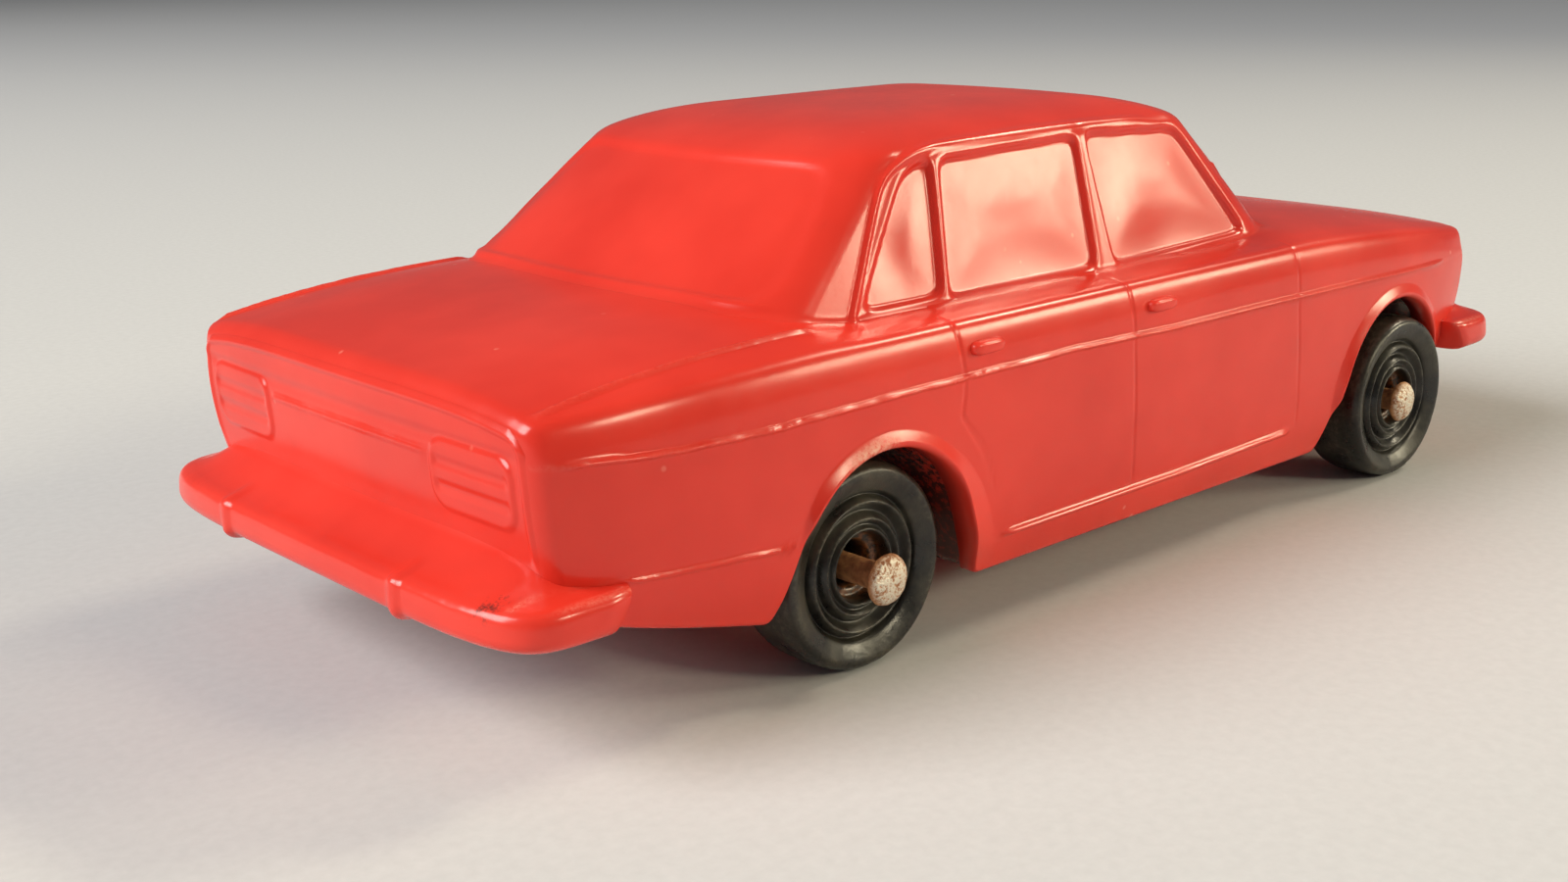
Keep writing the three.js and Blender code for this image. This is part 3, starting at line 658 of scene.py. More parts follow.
def sideRelief(x, z):
    # sum of raised cosines across each line, faded in along it; the waist bead wanders like a mould seam
    f = trimForm
    uneven = soft(x, *f["unevenFrom"])
    line, fade = alongLine(x, f["waistLine"], f["waistEnds"])
    line = line + 0.06 * wobble(x, 1.3) * uneven
    thick = 1 + 0.35 * wobble(1.7 * x, 4.1) * uneven
    relief = f["waistRaise"] * thick * fade * hump(z - line, f["waistReach"])
    line, fade = alongLine(x, f["sillLine"], f["sillEnds"])
    relief += f["sillRaise"] * fade * hump(z - line, f["sillReach"])
    line, fade = alongLine(x, f["quarterLine"], f["quarterEnds"])
    relief += f["quarterRaise"] * fade * hump(z - line - 0.05 * wobble(x, 2.2), f["quarterReach"])
    for gap in f["gaps"]:
        foot = gap["line"][0][0]
        fade = soft(z, foot + f["gapFoot"][0], foot + f["gapFoot"][1]) * soft(z, *f["gapTop"])
        relief -= gap["depth"] * fade * hump(x - np.interp(z, *np.transpose(gap["line"])), f["gapReach"])
    for middle, radius in arches:
        relief += archForm["lipRaise"] * archLip(x, z, middle, radius)
    return relief


def deckRelief(x, y):  # raised cosine across the thin line along each side of the boot lid
    f = trimForm
    fade = soft(x, *f["lidFrom"]) * soft(x, *f["lidTo"])
    line = f["lidLine"] + f["lidSpread"] * np.maximum(x + 62, 0) + 0.04 * wobble(x, 3.4)
    return f["lidRaise"] * fade * hump(np.abs(y) - line, f["lidReach"])


# Rubbed places and painted highlights of the skin: a rubbed patch over the right rear arch, and painted
# highlights along the lid's lines and the waist bead.
rubAndHighlightForm = {
    "archMiddle": -35.2,
    "archLength": 4.2,
    "archAway": 0.6,
    "archReach": 1.0,
    "archAbove": 15,
    "archBeyond": -26,
    # the lid and waist strengths below are painted highlights along those lines
    "lidHighlight": 0.09,
    "lidAbove": 26,
    "waist": 0.06,
    "waistReach": 0.4,
    "waistBeyond": 25,
}


def skinRubAndHighlight(x, y, z):  # the greatest of the three marks
    f = rubAndHighlightForm
    # the arch patch is rub; the lid and waist marks are painted highlights
    arch = hump(archDistance(x, z, *arches[0]) - f["archAway"], f["archReach"])
    arch = arch * hump(x - f["archMiddle"], f["archLength"]) * (y < f["archBeyond"]) * (z > f["archAbove"])
    lidHighlight = deckRelief(x, y) / trimForm["lidRaise"] * (z > f["lidAbove"])
    line = np.interp(x, *np.transpose(trimForm["waistLine"]))
    waist = hump(z - line, f["waistReach"]) * (np.abs(y) > f["waistBeyond"])
    return np.max([arch, f["lidHighlight"] * lidHighlight, f["waist"] * waist], axis=0)


# Cabin: feet and heads of the screens on the middle line, and half widths at the belt and roof rail.
cabinForm = {
    "belt": 29.4,
    "rail": 41.5,
    "rearFoot": -44.1,
    "rearHead": -28.5,
    "frontFoot": 33.1,
    "frontHead": 21.3,
    "beltHalf": 23.1,
    "railHalf": 19.6,
    "footCorner": 6.2,
    "railCorner": 3.6,
    "screenBow": 2.4,
    "sideBow": 0.6,
    "fullness": 4.0,
    "footFlare": 0.3,
    "sideFlare": 0.25,
    "sideFlareFrom": (15, 21),
    "flareHeight": 0.6,
    "footSink": 0.15,
    "wall": 1.8,
    "lining": 0.9,
    "liningStep": 6,
    "columns": (46, 12, 118),
    "wallRows": 60,
    "roofRows": 30,
    "railBlur": 4.0,
    "railRounds": 9,
}


def cabinSizes(level, offset):  # rear and front stations and half width at a level, moved out by an offset
    c = cabinForm
    rise = c["rail"] - c["belt"]
    slopes = [c[a] - c[b] for a, b in
              (("rearHead", "rearFoot"), ("frontHead", "frontFoot"), ("railHalf", "beltHalf"))]
    out = [offset * math.hypot(1, slope / rise) for slope in slopes]
    rear = lerp(c["rearFoot"], c["rearHead"], level) - out[0]
    front = lerp(c["frontFoot"], c["frontHead"], level) + out[1]
    half = lerp(c["beltHalf"], c["railHalf"], level) + out[2]
    return rear, front, half


def cabinHeight(x, y, inset):
    # height of the cabin over a place on the deck, moved in by an inset: the lowest of what the two
    # screens and the side allow, under the roof dome
    c = cabinForm
    rear, front, half = cabinSizes(0.0, -inset)
    bow = c["screenBow"] * np.clip(np.abs(y) / half, 0, 1) ** 2
    length, middle = 0.5 * (front - rear), 0.5 * (front + rear)
    side = half - c["sideBow"] * ((x - middle) / length) ** 2
    levels = [
        (front - bow - x) / (c["frontFoot"] - c["frontHead"]),
        (x - rear - bow) / (c["rearHead"] - c["rearFoot"]),
        (side - np.abs(y)) / (c["beltHalf"] - c["railHalf"]),
    ]
    level = np.min(levels, axis=0)
    roof = lerp(c["rail"], boxHigh[2], 1 - (np.abs(y) / c["railHalf"]).clip(0, 1) ** 4) - inset
    height = np.minimum(c["belt"] + np.clip(level, -1, 1) * (c["rail"] - c["belt"]), roof)
    return np.where(level > 0, height, -1.0)


def bodyStations():
    # even stations, closer together over the arch edges and the door gaps
    f = bodyForm
    spans = ((tailX + f["rounding"], noseX - f["rounding"], f["stationStep"]),) + f["closeStations"]
    every = np.sort(np.concatenate([np.arange(a, b, step) for a, b, step in spans]))
    return every[np.concatenate([[True], np.diff(every) > f["leastStep"]])]


def makeBodySkin():
    # closed section loops along the car: outer half section with its relief, rounded rim, inner half
    # section one wall further in; the edge round each end face is a quarter circle of stations
    f, r, step = bodyForm, bodyForm["rounding"], bodyForm["innerStep"]
    turn = np.radians(np.linspace(90, 0, f["endSteps"]))
    tailEnd, noseEnd = tailX + r * (1 - np.sin(turn)), noseX - r * (1 - np.sin(turn[::-1]))
    xs = np.concatenate([tailEnd, bodyStations()[1:-1], noseEnd])
    corner = -r * (1 - np.cos(turn))
    inset = np.concatenate([corner, np.zeros(len(xs) - 2 * len(turn)), corner[::-1]])
    knots = sectionKnots(xs)
    foot = lowEdgeAt(xs) + f["edgeRounding"]
    waistKnot = f["deckRuns"][0][0]
    tries = np.linspace(0, waistKnot, 121)
    heights = throughKnots(knots, np.broadcast_to(tries, (len(xs), len(tries))))[..., 1]
    found = np.clip((heights < foot[:, None]).sum(axis=1) - 1, 0, len(tries) - 2)
    z0, z1 = [np.take_along_axis(heights, (found + k)[:, None], 1)[:, 0] for k in (0, 1)]
    first = (tries[found] + tries[1] * np.clip((foot - z0) / (z1 - z0), 0, 1))[:, None]
    climb = np.concatenate([[0], runs(f["sideRuns"])])
    upper = runs(f["deckRuns"])
    place = np.concatenate([first + (waistKnot - first) * climb,
                            np.broadcast_to(upper, (len(xs), len(upper)))], axis=1)
    x = xs[:, None]

    def section(place, offset):  # the curve through the knots, moved out along its own normal
        here = throughKnots(knots, place)
        along = throughKnots(knots, place + 1e-3) - throughKnots(knots, place - 1e-3)
        normal = np.stack([along[..., 1], -along[..., 0]], axis=-1)
        normal /= np.linalg.norm(normal, axis=-1, keepdims=True)
        normal[:, -1] = (0, 1)
        return here + normal * offset, normal

    def underRoof(half, place, inset):  # the deck within the cabin is carried up, an inset under its skin
        roof = cabinHeight(x, half[..., 0], inset)
        half[..., 1] = np.maximum(half[..., 1], np.where(place > f["cabinKnot"], roof, -1))
        half[:, -1, 0] = 0
        return half

    outer, normal = section(place, inset[:, None, None])
    y, z = outer[..., 0], outer[..., 1]
    relief = sideRelief(x, z) * soft(y, *f["reliefFrom"]) + deckRelief(x, y)
    outer = underRoof(outer + normal * relief[..., None], place, f["underCabin"])
    inner, _ = section(place[:, ::step], -f["wall"])
    inner = underRoof(inner, place[:, ::step], cabinForm["wall"])
    edge = f["edgeRounding"]
    rimTurn = np.radians(np.array(f["rimTurns"]))
    footY, footZ = outer[:, 0, 0][:, None], outer[:, 0, 1][:, None]
    rim = np.stack([footY - edge + edge * np.cos(rimTurn), footZ - edge * np.sin(rimTurn)], axis=-1)
    flat = np.stack([inner[:, 0, 0], footZ[:, 0] - edge], axis=-1)[:, None]
    half = np.concatenate([inner[:, ::-1], flat, rim, outer], axis=1)  # inside top, down, rim, up the side
    wholeY = np.concatenate([-half[..., 0], half[:, ::-1, 0][:, 1:]], axis=1)
    wholeZ = np.concatenate([half[..., 1], half[:, ::-1, 1][:, 1:]], axis=1)
    wholeX = x + bowAt(x, wholeY, wholeZ)
    rings = np.stack([wholeX, wholeY, wholeZ], axis=-1)
    top = inner.shape[1] - 1
    nearest = np.minimum(np.round(np.arange(outer.shape[1]) / step).astype(int), top)
    onInner = top - np.concatenate([np.arange(top + 1)[::-1], np.zeros(1 + len(rimTurn), int), nearest])
    drawn = np.concatenate([onInner, rings.shape[1] - 1 - onInner[::-1][1:]])
    skin = np.concatenate([rings[:1, drawn], rings, rings[-1:, drawn]])  # ends closed on to the inner curve
    # the rub mark holds the rubbed arch patch and the painted highlights of the lid lines and the waist bead
    rubAndHighlight = skinRubAndHighlight(skin[..., 0], skin[..., 1], skin[..., 2])
    return makeMoulding("bodySkin", [skin], rubAndHighlight, flip=True)


makeBodySkin()


# Panes of the cabin in (x, z) or, on the screens, (y, z). A dent is (x, z, reach, depth).
paneForm = {
    "recess": 0.5,
    "screenRecess": 0.24,
    "swell": 0.12,
    "screenSwell": 0.2,
    "rounding": 1.4,
    "screenRounding": 2.4,
    "side": (
        ((-30.3, 29.3), (-20.5, 29.35), (-18.6, 40.9), (-22.3, 39.9)),
        ((-19.9, 29.0), (0.2, 29.1), (0.8, 41.1), (-17.7, 40.6)),
        ((2.8, 29.0), (24.7, 29.4), (16.4, 40.5), (2.1, 41.2)),
    ),
    "sideBeyond": 16,
    "dents": ((-24.8, 32.6, 1.9, 0.15), (-12.2, 33.6, 2.7, 0.12), (-8.0, 32.4, 2.9, 0.13),
              (5.6, 37.6, 2.2, 0.10), (11.5, 31.0, 3.0, 0.14)),
    "rail": ((-32.4, 27.5), (-25.0, 39.6), (-20.6, 41.5), (1.1, 42.1), (16.9, 41.4), (27.6, 27)),
    "railRaise": 0.34,
    "railReach": 0.45,
    "railRounding": 1.5,
    "railFade": (15, 8),
    "ledgeRaise": 0.2,
    "ledgeHeight": 0.55,
    "ledgeReach": 0.5,
    "ledgeEnds": (21.5, 20),
    "rear": ((-20.8, 31.2), (20.8, 31.2), (17, 40.7), (-17, 40.7)),
    "rearBehind": -27,
    "front": ((-20.8, 31.6), (20.8, 31.6), (17, 40.7), (-17, 40.7)),
    "frontAhead": 18,
}


def paneRelief(away, recess, swell):
    # a step down over half a millimetre, a low raised lip outside it, and a slow swell to the middle
    step = -recess * soft(away, 0.15, -0.35)
    return step + 0.05 * hump(away - 0.4, 0.5) + swell * soft(away, -0.5, -5.0)


def cabinRelief(x, y, z, foot):
    # sum of the side panes with their dents, the rail over them, the rear ledge and the two screens
    c, p = cabinForm, paneForm
    onSide = (np.abs(y) > p["sideBeyond"]) * (z < c["rail"] + 0.8)
    relief = np.zeros_like(x)
    for corners in p["side"]:
        relief += onSide * paneRelief(insideOf(x, z, corners, p["rounding"]), p["recess"], p["swell"])
    for dentX, dentZ, reach, depth in p["dents"]:
        relief -= onSide * depth * np.exp(-0.5 * ((x - dentX) ** 2 + (z - dentZ) ** 2) / reach ** 2)
    rail = insideOf(x, z, p["rail"], p["railRounding"])
    relief += onSide * p["railRaise"] * soft(x, *p["railFade"]) * hump(rail, p["railReach"])
    ledge = soft(np.abs(y), *p["ledgeEnds"]) * hump(z - foot - p["ledgeHeight"], p["ledgeReach"])
    relief += p["ledgeRaise"] * ledge * (x < p["rearBehind"])
    for corners, facing in ((p["rear"], x < p["rearBehind"]), (p["front"], x > p["frontAhead"])):
        away = insideOf(y, z, corners, p["screenRounding"])
        relief += facing * (z < c["rail"] + 0.3) * paneRelief(away, p["screenRecess"], p["screenSwell"])
    return relief


def makeCabin():
    # rings round the cabin from its foot on the deck to the rail, then rings drawn in to the roof's
    # middle with height 1 - q to the fourth; the crease at the rail is rounded by averaging rows
    c = cabinForm
    rise = c["rail"] - c["belt"]
    across, bend, beside = c["columns"]  # half a screen, a corner, half a side
    part = np.repeat((0, 1, 2), (across, bend, beside + 1))
    t = np.concatenate([np.arange(across) / across, np.arange(bend) / bend, np.arange(beside + 1) / beside])
    count = len(t)
    order = np.concatenate([np.arange(count), np.arange(count - 2, -1, -1), np.arange(1, count),
                            np.arange(count - 2, 0, -1)])
    quarters = (count, count - 1, count - 1, count - 2)
    signX, signY = [np.repeat(s, quarters) for s in ((1, -1, -1, 1), (1, 1, -1, -1))]
    part, t = part[order], t[order]

    def outline(level, offset):  # rounded rectangle with bowed ends and full sides
        rear, front, half = cabinSizes(level, offset)
        length, middle = 0.5 * (front - rear), 0.5 * (front + rear)
        corner = lerp(c["footCorner"], c["railCorner"], np.clip(level, 0, 1))
        arc = 0.5 * np.pi * t
        cornerX, cornerY = length - corner + corner * np.cos(arc), half - corner + corner * np.sin(arc)
        x = np.choose(part, [length, cornerX, (length - corner) * (1 - t)])
        y = np.choose(part, [(half - corner) * t, cornerY, half])
        bowX = x - c["screenBow"] * (y / half) ** 2 * (x / length)
        bowY = y - c["sideBow"] * (x / length) ** 2 * (y / half)
        return middle + signX * bowX, signY * bowY

    zero = np.zeros((1, len(t)))
    x, y = outline(zero, zero)
    foot = deckAt(x, y)
    for _ in range(2):
        x, y = outline((foot - c["belt"]) / rise, zero)
        foot = deckAt(x, y)
    climb = np.linspace(0, 1, c["wallRows"])[:, None] ** 1.12
    bottom = foot - c["footSink"]
    z = bottom + climb * (c["rail"] - bottom)
    reach = lerp(c["footFlare"], c["sideFlare"], soft(np.abs(y), *c["sideFlareFrom"]))
    flare = reach * np.clip(1 - (z - bottom) / c["flareHeight"], 0, 1) ** 2.2
    x, y = outline((z - c["belt"]) / rise, flare)
    walls = np.stack([x, y, z], axis=-1)
    q = 1 - np.linspace(0, 1, c["roofRows"])[1:, None] ** 1.25
    top = outline(1.0 + zero, zero)
    middle = 0.5 * (c["rearHead"] + c["frontHead"])
    dome = c["rail"] + (boxHigh[2] - c["rail"]) * (1 - q ** c["fullness"])
    roof = np.stack([middle + q * (top[0] - middle), q * top[1], dome + 0 * top[0]], axis=-1)
    outer = np.concatenate([walls, roof])
    fromRail = np.arange(len(outer)) - (c["wallRows"] - 1)
    near = np.exp(-(fromRail / c["railBlur"]) ** 2)[1:-1, None, None]
    for _ in range(c["railRounds"]):
        outer[1:-1] += 0.5 * near * (0.5 * (outer[:-2] + outer[2:]) - outer[1:-1])
    normal = gridNormals(outer)
    normal[-1] = (0, 0, 1)
    relief = cabinRelief(outer[..., 0], outer[..., 1], outer[..., 2], foot)
    shown = outer + normal * relief[..., None]
    inside = (outer - c["lining"] * normal)[::-c["liningStep"]]
    sunk = shown[:1] - np.array([0, 0, c["lining"]])
    rings = np.concatenate([inside, sunk, shown])
    rings[0] = rings[0].mean(axis=0)
    rings[-1] = rings[-1].mean(axis=0)
    rings = np.concatenate([rings, rings[:, :1]], axis=1)
    return makeMoulding("cabin", [rings])


makeCabin()


# Tail and nose plates: a face grid with all its relief, closed at the back by a flat grid.
tailForm = {
    "lipFrom": 24.6,
    "lipRaise": 0.12,
    "groove": 24.1,
    "grooveDepth": 0.10,
    "grooveEnds": (24.2, 22.4),
    "ridge": 22.8,
    "ridgeRaise": 0.12,
    "ridgeEnds": (12.6, 11.2),
    "shelf": 2.6,
    "rimRaise": 0.14,
    "lampMiddle": 17.95,
    "lampHeight": 21.35,
    "lampWidth": 10.6,
    "lampDepth": 5.7,
    "lampRaise": 0.20,
    "lampRim": 0.7,
    "lampCorner": 1.9,
    "bandDepth": 0.15,
    "bandSpread": 0.95,
    "bandReach": 0.75,
    "plate": 2.0,
}
noseForm = {
    "lampSpread": 18.6,
    "lampHeight": 20.0,
    "lampRadius": 3.6,
    "lampRaise": 1.05,
    "grilleWidth": 21.0,
    "grilleDepth": 5.6,
    "grilleHeight": 20.0,
    "grilleRaise": 0.68,
    "grilleCorner": 0.8,
    "slotDepth": 0.55,
    "frame": 0.9,
    "slots": 8,
    "rimRaise": 0.12,
    "plate": 2.0,
}
plateForm = {
    "columns": 381,
    "rows": 121,
    "corner": 2.2,
    "margin": 0.6,
    "sink": (-0.2, 0.015),
    "sinkFrom": (0.9, 0.3),
    "reliefFrom": (0.7, 1.1),
    "rimInset": 0.15,
    "rimReach": 0.45,
    "rimHeights": (15, 18),
}


def boxDistance(u, v, middle, width, height, rounding):  # signed distance to a rounded rectangle
    du = np.abs(u - middle[0]) - 0.5 * width + rounding
    dv = np.abs(v - middle[1]) - 0.5 * height + rounding
    outside = np.hypot(np.maximum(du, 0), np.maximum(dv, 0))
    return outside + np.minimum(np.maximum(du, dv), 0) - rounding


def rimLine(border, z):  # raised cosine across a line just inside the border, fading out below
    f = plateForm
    return hump(border - bodyForm["rounding"] - f["rimInset"], f["rimReach"]) * soft(z, *f["rimHeights"])


def tailRelief(y, z, border):
    # rim along the border, lip band over a groove, ridge between the lamps, and each lamp a rounded block
    # with a rim and two grooves that leave three bands
    f = tailForm
    side = np.abs(y)
    relief = f["rimRaise"] * rimLine(border, z)
    relief += f["lipRaise"] * soft(z, f["lipFrom"] - 0.6, f["lipFrom"] + 0.6)
    relief -= f["grooveDepth"] * soft(side, *f["grooveEnds"]) * hump(z - f["groove"], 0.8)
    between = soft(side, *f["ridgeEnds"])
    shelf = soft(z, f["ridge"] - f["shelf"], f["ridge"]) * (z < f["ridge"])
    uneven = 1 + 0.4 * wobble(0.8 * y, 2.6)
    relief += f["ridgeRaise"] * between * (uneven * hump(z - f["ridge"], 0.6) + 0.6 * shelf)
    lamp = ((f["lampMiddle"], f["lampHeight"]), f["lampWidth"], f["lampDepth"], f["lampCorner"])
    away = boxDistance(side, z, *lamp)
    relief += f["lampRaise"] * soft(away, 0.3, -0.3)
    bands = sum(hump(z - f["lampHeight"] - s * f["bandSpread"], f["bandReach"]) for s in (1, -1))
    within = soft(away, -0.35, -f["lampRim"] - 0.3)
    return relief - within * (0.04 + f["bandDepth"] * bands)


def noseRelief(y, z, border):
    # framed grille with upright slots, and round lamps: a bezel ring, a dish and a domed lens
    f, r = noseForm, noseForm["lampRadius"]
    middle = (0, f["grilleHeight"])
    away = boxDistance(y, z, middle, f["grilleWidth"], f["grilleDepth"], f["grilleCorner"])
    relief = f["grilleRaise"] * soft(away, 0.25, -0.25)
    relief += f["rimRaise"] * rimLine(border, z)
    pitch = (f["grilleWidth"] - 2 * f["frame"]) / f["slots"]
    slot = np.abs((y / pitch + 0.5 * (f["slots"] % 2 == 0)) % 1 - 0.5)
    relief -= f["slotDepth"] * soft(away, -f["frame"] + 0.2, -f["frame"] - 0.2) * soft(slot, 0.30, 0.18)
    ring = np.hypot(np.abs(y) - f["lampSpread"], z - f["lampHeight"])
    relief += f["lampRaise"] * soft(ring, r + 0.2, r - 0.2)
    relief -= 0.8 * f["lampRaise"] * soft(ring, 0.80 * r, 0.70 * r)
    lens = np.sqrt(np.clip(1 - (ring / (0.72 * r)) ** 2, 0, 1))
    return relief + 0.6 * f["lampRaise"] * lens


def makeEndPlate(name, end, outward, relief, plate):
    # v runs up from the under edge to the deck line, u across; near its border the face follows the quarter
    # circle of the body's end and dips under it, so that the two meet without a seam
    f, r = plateForm, bodyForm["rounding"]
    corner, margin = f["corner"], f["margin"]
    u = np.linspace(-1, 1, f["columns"])[None]
    v = np.linspace(0, 1, f["rows"])[:, None]
    x = np.array(end)
    sideY, sideZ = sectionKnots(x[None])[0, :6].T
    bottom = underAt(x) + margin
    y = u * (halfWidthAt(x) - margin)
    z = bottom + v * (deckAt(x, y) - margin - bottom)
    side = np.interp(z, sideZ, sideY)
    y = u * (side - margin)
    inSide, inTop = side - np.abs(y), deckAt(x, y) - z
    border = corner - np.hypot(np.maximum(corner - inSide, 0), np.maximum(corner - inTop, 0))
    depth = r - np.sqrt(r ** 2 - np.clip(r - border, 0, 0.98 * r) ** 2)
    sink = lerp(*f["sink"], soft(border, r - f["sinkFrom"][0], r - f["sinkFrom"][1]))
    shown = soft(1 - np.abs(u), 0, 0.02) * soft(v, 0, 0.04) * soft(1 - v, 0, 0.03)
    base = end - outward * (depth - sink)
    base = base + bowAt(base, y, z)
    fade = soft(border, *f["reliefFrom"]) * shown
    front = np.stack([base + outward * relief(y, z, border) * fade, y, z], axis=-1)
    back = np.stack([base - outward * plate * shown, y, z], axis=-1)
    loop = np.concatenate([front, back[::-1], front[:1]])
    return makeMoulding(name, [loop], flip=outward < 0)


makeEndPlate("tailPlate", tailX, -1, tailRelief, tailForm["plate"])
makeEndPlate("nosePlate", noseX, 1, noseRelief, noseForm["plate"])


# Bumpers: a squarish D in plan, its section a blade with a sloping shelf over it. Each step round a tip is
# (in from the side, along the car).
bumperForm = {
    "halfWidth": 28.7,
    "wrapTop": 11.4,
    "wrapBottom": 9.3,
    "squareness": 5.3,
    "rear": {"bottom": 10.9, "top": 14.3, "shelf": 16.2},
    "front": {"bottom": 11.8, "top": 15.4, "shelf": 17.4},
    "setBack": 0.22,
    "flash": 0.07,
    "guardSpread": 13.6,
    "guardReach": 0.85,
    "guardRaise": 0.40,
    "guardOver": 0.10,
    "guardUnder": 0.3,
    "guardFade": 1.2,
    "tipDrop": 0.8,
    "tipSteps": ((0.12, 0.12), (0.45, 0.3), (1.0, 0.42), (2.4, 0.46), (5.0, 0.5)),
    "backWidth": 0.86,
    "backAhead": 0.3,
    "columns": 321,
    "rows": 52,
    "scuff": (-24.0, 14.0),
    # a pale spot painted beside the scuff as a highlight, and its strength
    "paintedGlint": (-25.7, 14.4),
    "paintedGlintStrength": 0.3,
    "tipRub": 0.25,
    "tipRubFrom": (27.6, 28.3),
}


def bumperLevels(low, top, shelf):  # heights and insets of the section, from under edge to shelf's back
    blade = [(low, 1.5), (low + 0.2, 0.75), (low + 0.6, 0.22), (low + 1.1, 0.03), (0.5 * (low + top), 0.0),
             (top - 0.75, 0.06), (top - 0.3, 0.3), (top, 0.85), (top + 0.22, 1.6)]
    slope = [(lerp(top, shelf, 0.35), 2.6), (lerp(top, shelf, 0.68), 3.6), (shelf - 0.05, 4.4),
             (shelf + 0.35, 5.0), (shelf + 0.9, 5.4), (shelf + 1.5, 5.75)]
    return np.array(blade + slope)


def makeBumper(name, place, face, inward):
    # path: superellipse from one side round the end to the other, further round at the top than at the
    # bottom; the section is a list of heights and insets, drawn smooth, and closed by a straight back
    f = bumperForm
    low, top, shelf = [f[place][key] for key in ("bottom", "top", "shelf")]
    angle = np.radians(np.linspace(-90, 90, f["columns"]))
    power = 2 / f["squareness"]
    out = np.cos(angle).clip(0, 1) ** power
    side = np.sign(angle) * np.abs(np.sin(angle)) ** power
    levels = bumperLevels(low, top, shelf)
    profile = throughKnots(levels[None], np.linspace(0, len(levels) - 1, f["rows"])[None])[0]
    z, inset = profile[:, 0][:, None], profile[:, 1][:, None].clip(0, None)
    across = side * (f["halfWidth"] - inset)
    guards = sum(hump(across - s * f["guardSpread"], f["guardReach"]) for s in (-1, 1))
    guards = np.sqrt(guards) * soft(z, top + 0.9, top + 0.1) * (np.cos(angle) > 0.5)
    uneven = f["flash"] * wobble(0.9 * across, 0.7) * hump(z - top, 0.9)
    wrap = lerp(f["wrapBottom"], f["wrapTop"], share(z, low, top))
    reach = np.maximum(inset + f["setBack"] + uneven - f["guardRaise"] * guards, 0.0)
    x = face + inward * (wrap + (reach - wrap) * out)
    tipDrop = f["tipDrop"] * soft(out, 0.75, 0.0) * np.maximum(z - top, 0)
    over = f["guardOver"] * soft(z, top - f["guardFade"], top)
    under = f["guardUnder"] * soft(z, low + f["guardFade"], low)
    z = z - tipDrop + guards * (over - under)
    blade = np.stack([x, across, z], axis=-1)
    steps = np.array(f["tipSteps"])[None]
    inFrom, along = steps[..., :1] * np.array([0, 1, 0]), steps[..., 1:] * np.array([inward, 0, 0])
    right = (blade[:, :1] + inFrom + along)[:, ::-1]
    left = blade[:, -1:] - inFrom + along
    blade = np.concatenate([right, blade, left], axis=1)
    backX = face + inward * (f["wrapBottom"] - f["backAhead"])
    back = blade[-1:] * np.array([0, f["backWidth"], 1]) + np.array([backX, 0, 0])
    backLow = back * np.array([1, 1, 0]) + np.array([0, 0, low])
    rings = closedTube(np.concatenate([blade, back, backLow]).transpose(1, 0, 2))
    y, z = rings[..., 1], rings[..., 2]
    isRear = place == "rear"
    # a real dark scuff on the rear bumper
    soilAndShade = isRear * hump(y - f["scuff"][0], 1.5) * hump(z - f["scuff"][1], 1.0)
    # painted highlight: a small pale spot beside the scuff
    paintedGlint = isRear * hump(y - f["paintedGlint"][0], 0.7) * hump(z - f["paintedGlint"][1], 0.5)
    tips = soft(np.abs(y), *f["tipRubFrom"]) * hump(z - top + 0.1, 0.4)
    return makeMoulding(name, [rings], f["tipRub"] * tips + f["paintedGlintStrength"] * paintedGlint, soilAndShade, flip=inward > 0)


makeBumper("rearBumper", "rear", boxLow[0], 1)
makeBumper("frontBumper", "front", boxHigh[0], -1)


# Door handles: small rounded bars on the side, between the waist bead and the belt.
handleForm = {
    "fronts": (-19.1, 5.0),
    "length": 3.9,
    "width": 1.2,
    "raise": 0.75,
    "sunk": 0.35,
    "height": 25.9,
    "turns": 64,
    "rows": 32,
}


def makeHandles():
    # superellipsoids: powers of the sines and cosines square off a ball into a bar
    f = handleForm
    a = np.linspace(-np.pi, np.pi, f["turns"] + 1)[None]
    b = np.linspace(-0.5 * np.pi, 0.5 * np.pi, f["rows"] + 1)[:, None]

    def power(v, p):  # power of the size, with the sign kept
        return np.sign(v) * np.abs(v) ** p

    sheets = []
    for front in f["fronts"]:
        x = front + 0.5 * f["length"] * (-1 + power(np.cos(b), 0.5) * power(np.cos(a), 0.4))
        z = f["height"] + 0.5 * f["width"] * power(np.cos(b), 0.5) * power(np.sin(a), 0.7)
        y = halfWidthAt(np.array(front)) - f["sunk"] + (f["raise"] + 0.2) * power(np.sin(b), 0.6) + 0 * a
        sheets += [np.stack([x, -y, z], axis=-1), np.stack([x[:, ::-1], y, z[:, ::-1]], axis=-1)]
    return makeMoulding("doorHandles", sheets)


makeHandles()


# Wheel wells: the arch outline carried inward to a cheek that holds the axle.
wellForm = {
    "wall": 1.8,
    "clearance": 0.05,
    "floor": 5.7,
    "overEdge": 0.5,
    "behindSide": 1.0,
    "tuckHeights": (15, 6),
    "tuckPower": 1.5,
    "cheekOuter": 19.5,
    "cheekInner": 17.1,
    "rodHole": 1.5,
    "bearing": 4.5,
    "cornerLoop": 0.3,
    "cheekLoops": (0.04, 0.96),
    "arcColumns": 40,
    "footColumns": 12,
    "floorColumns": 14,
    # strength of the painted shade in the wells, and where it starts inside the side
    "soilAndShade": 1.8,
    "paintedShadeFrom": (27.9, 26.7),
}


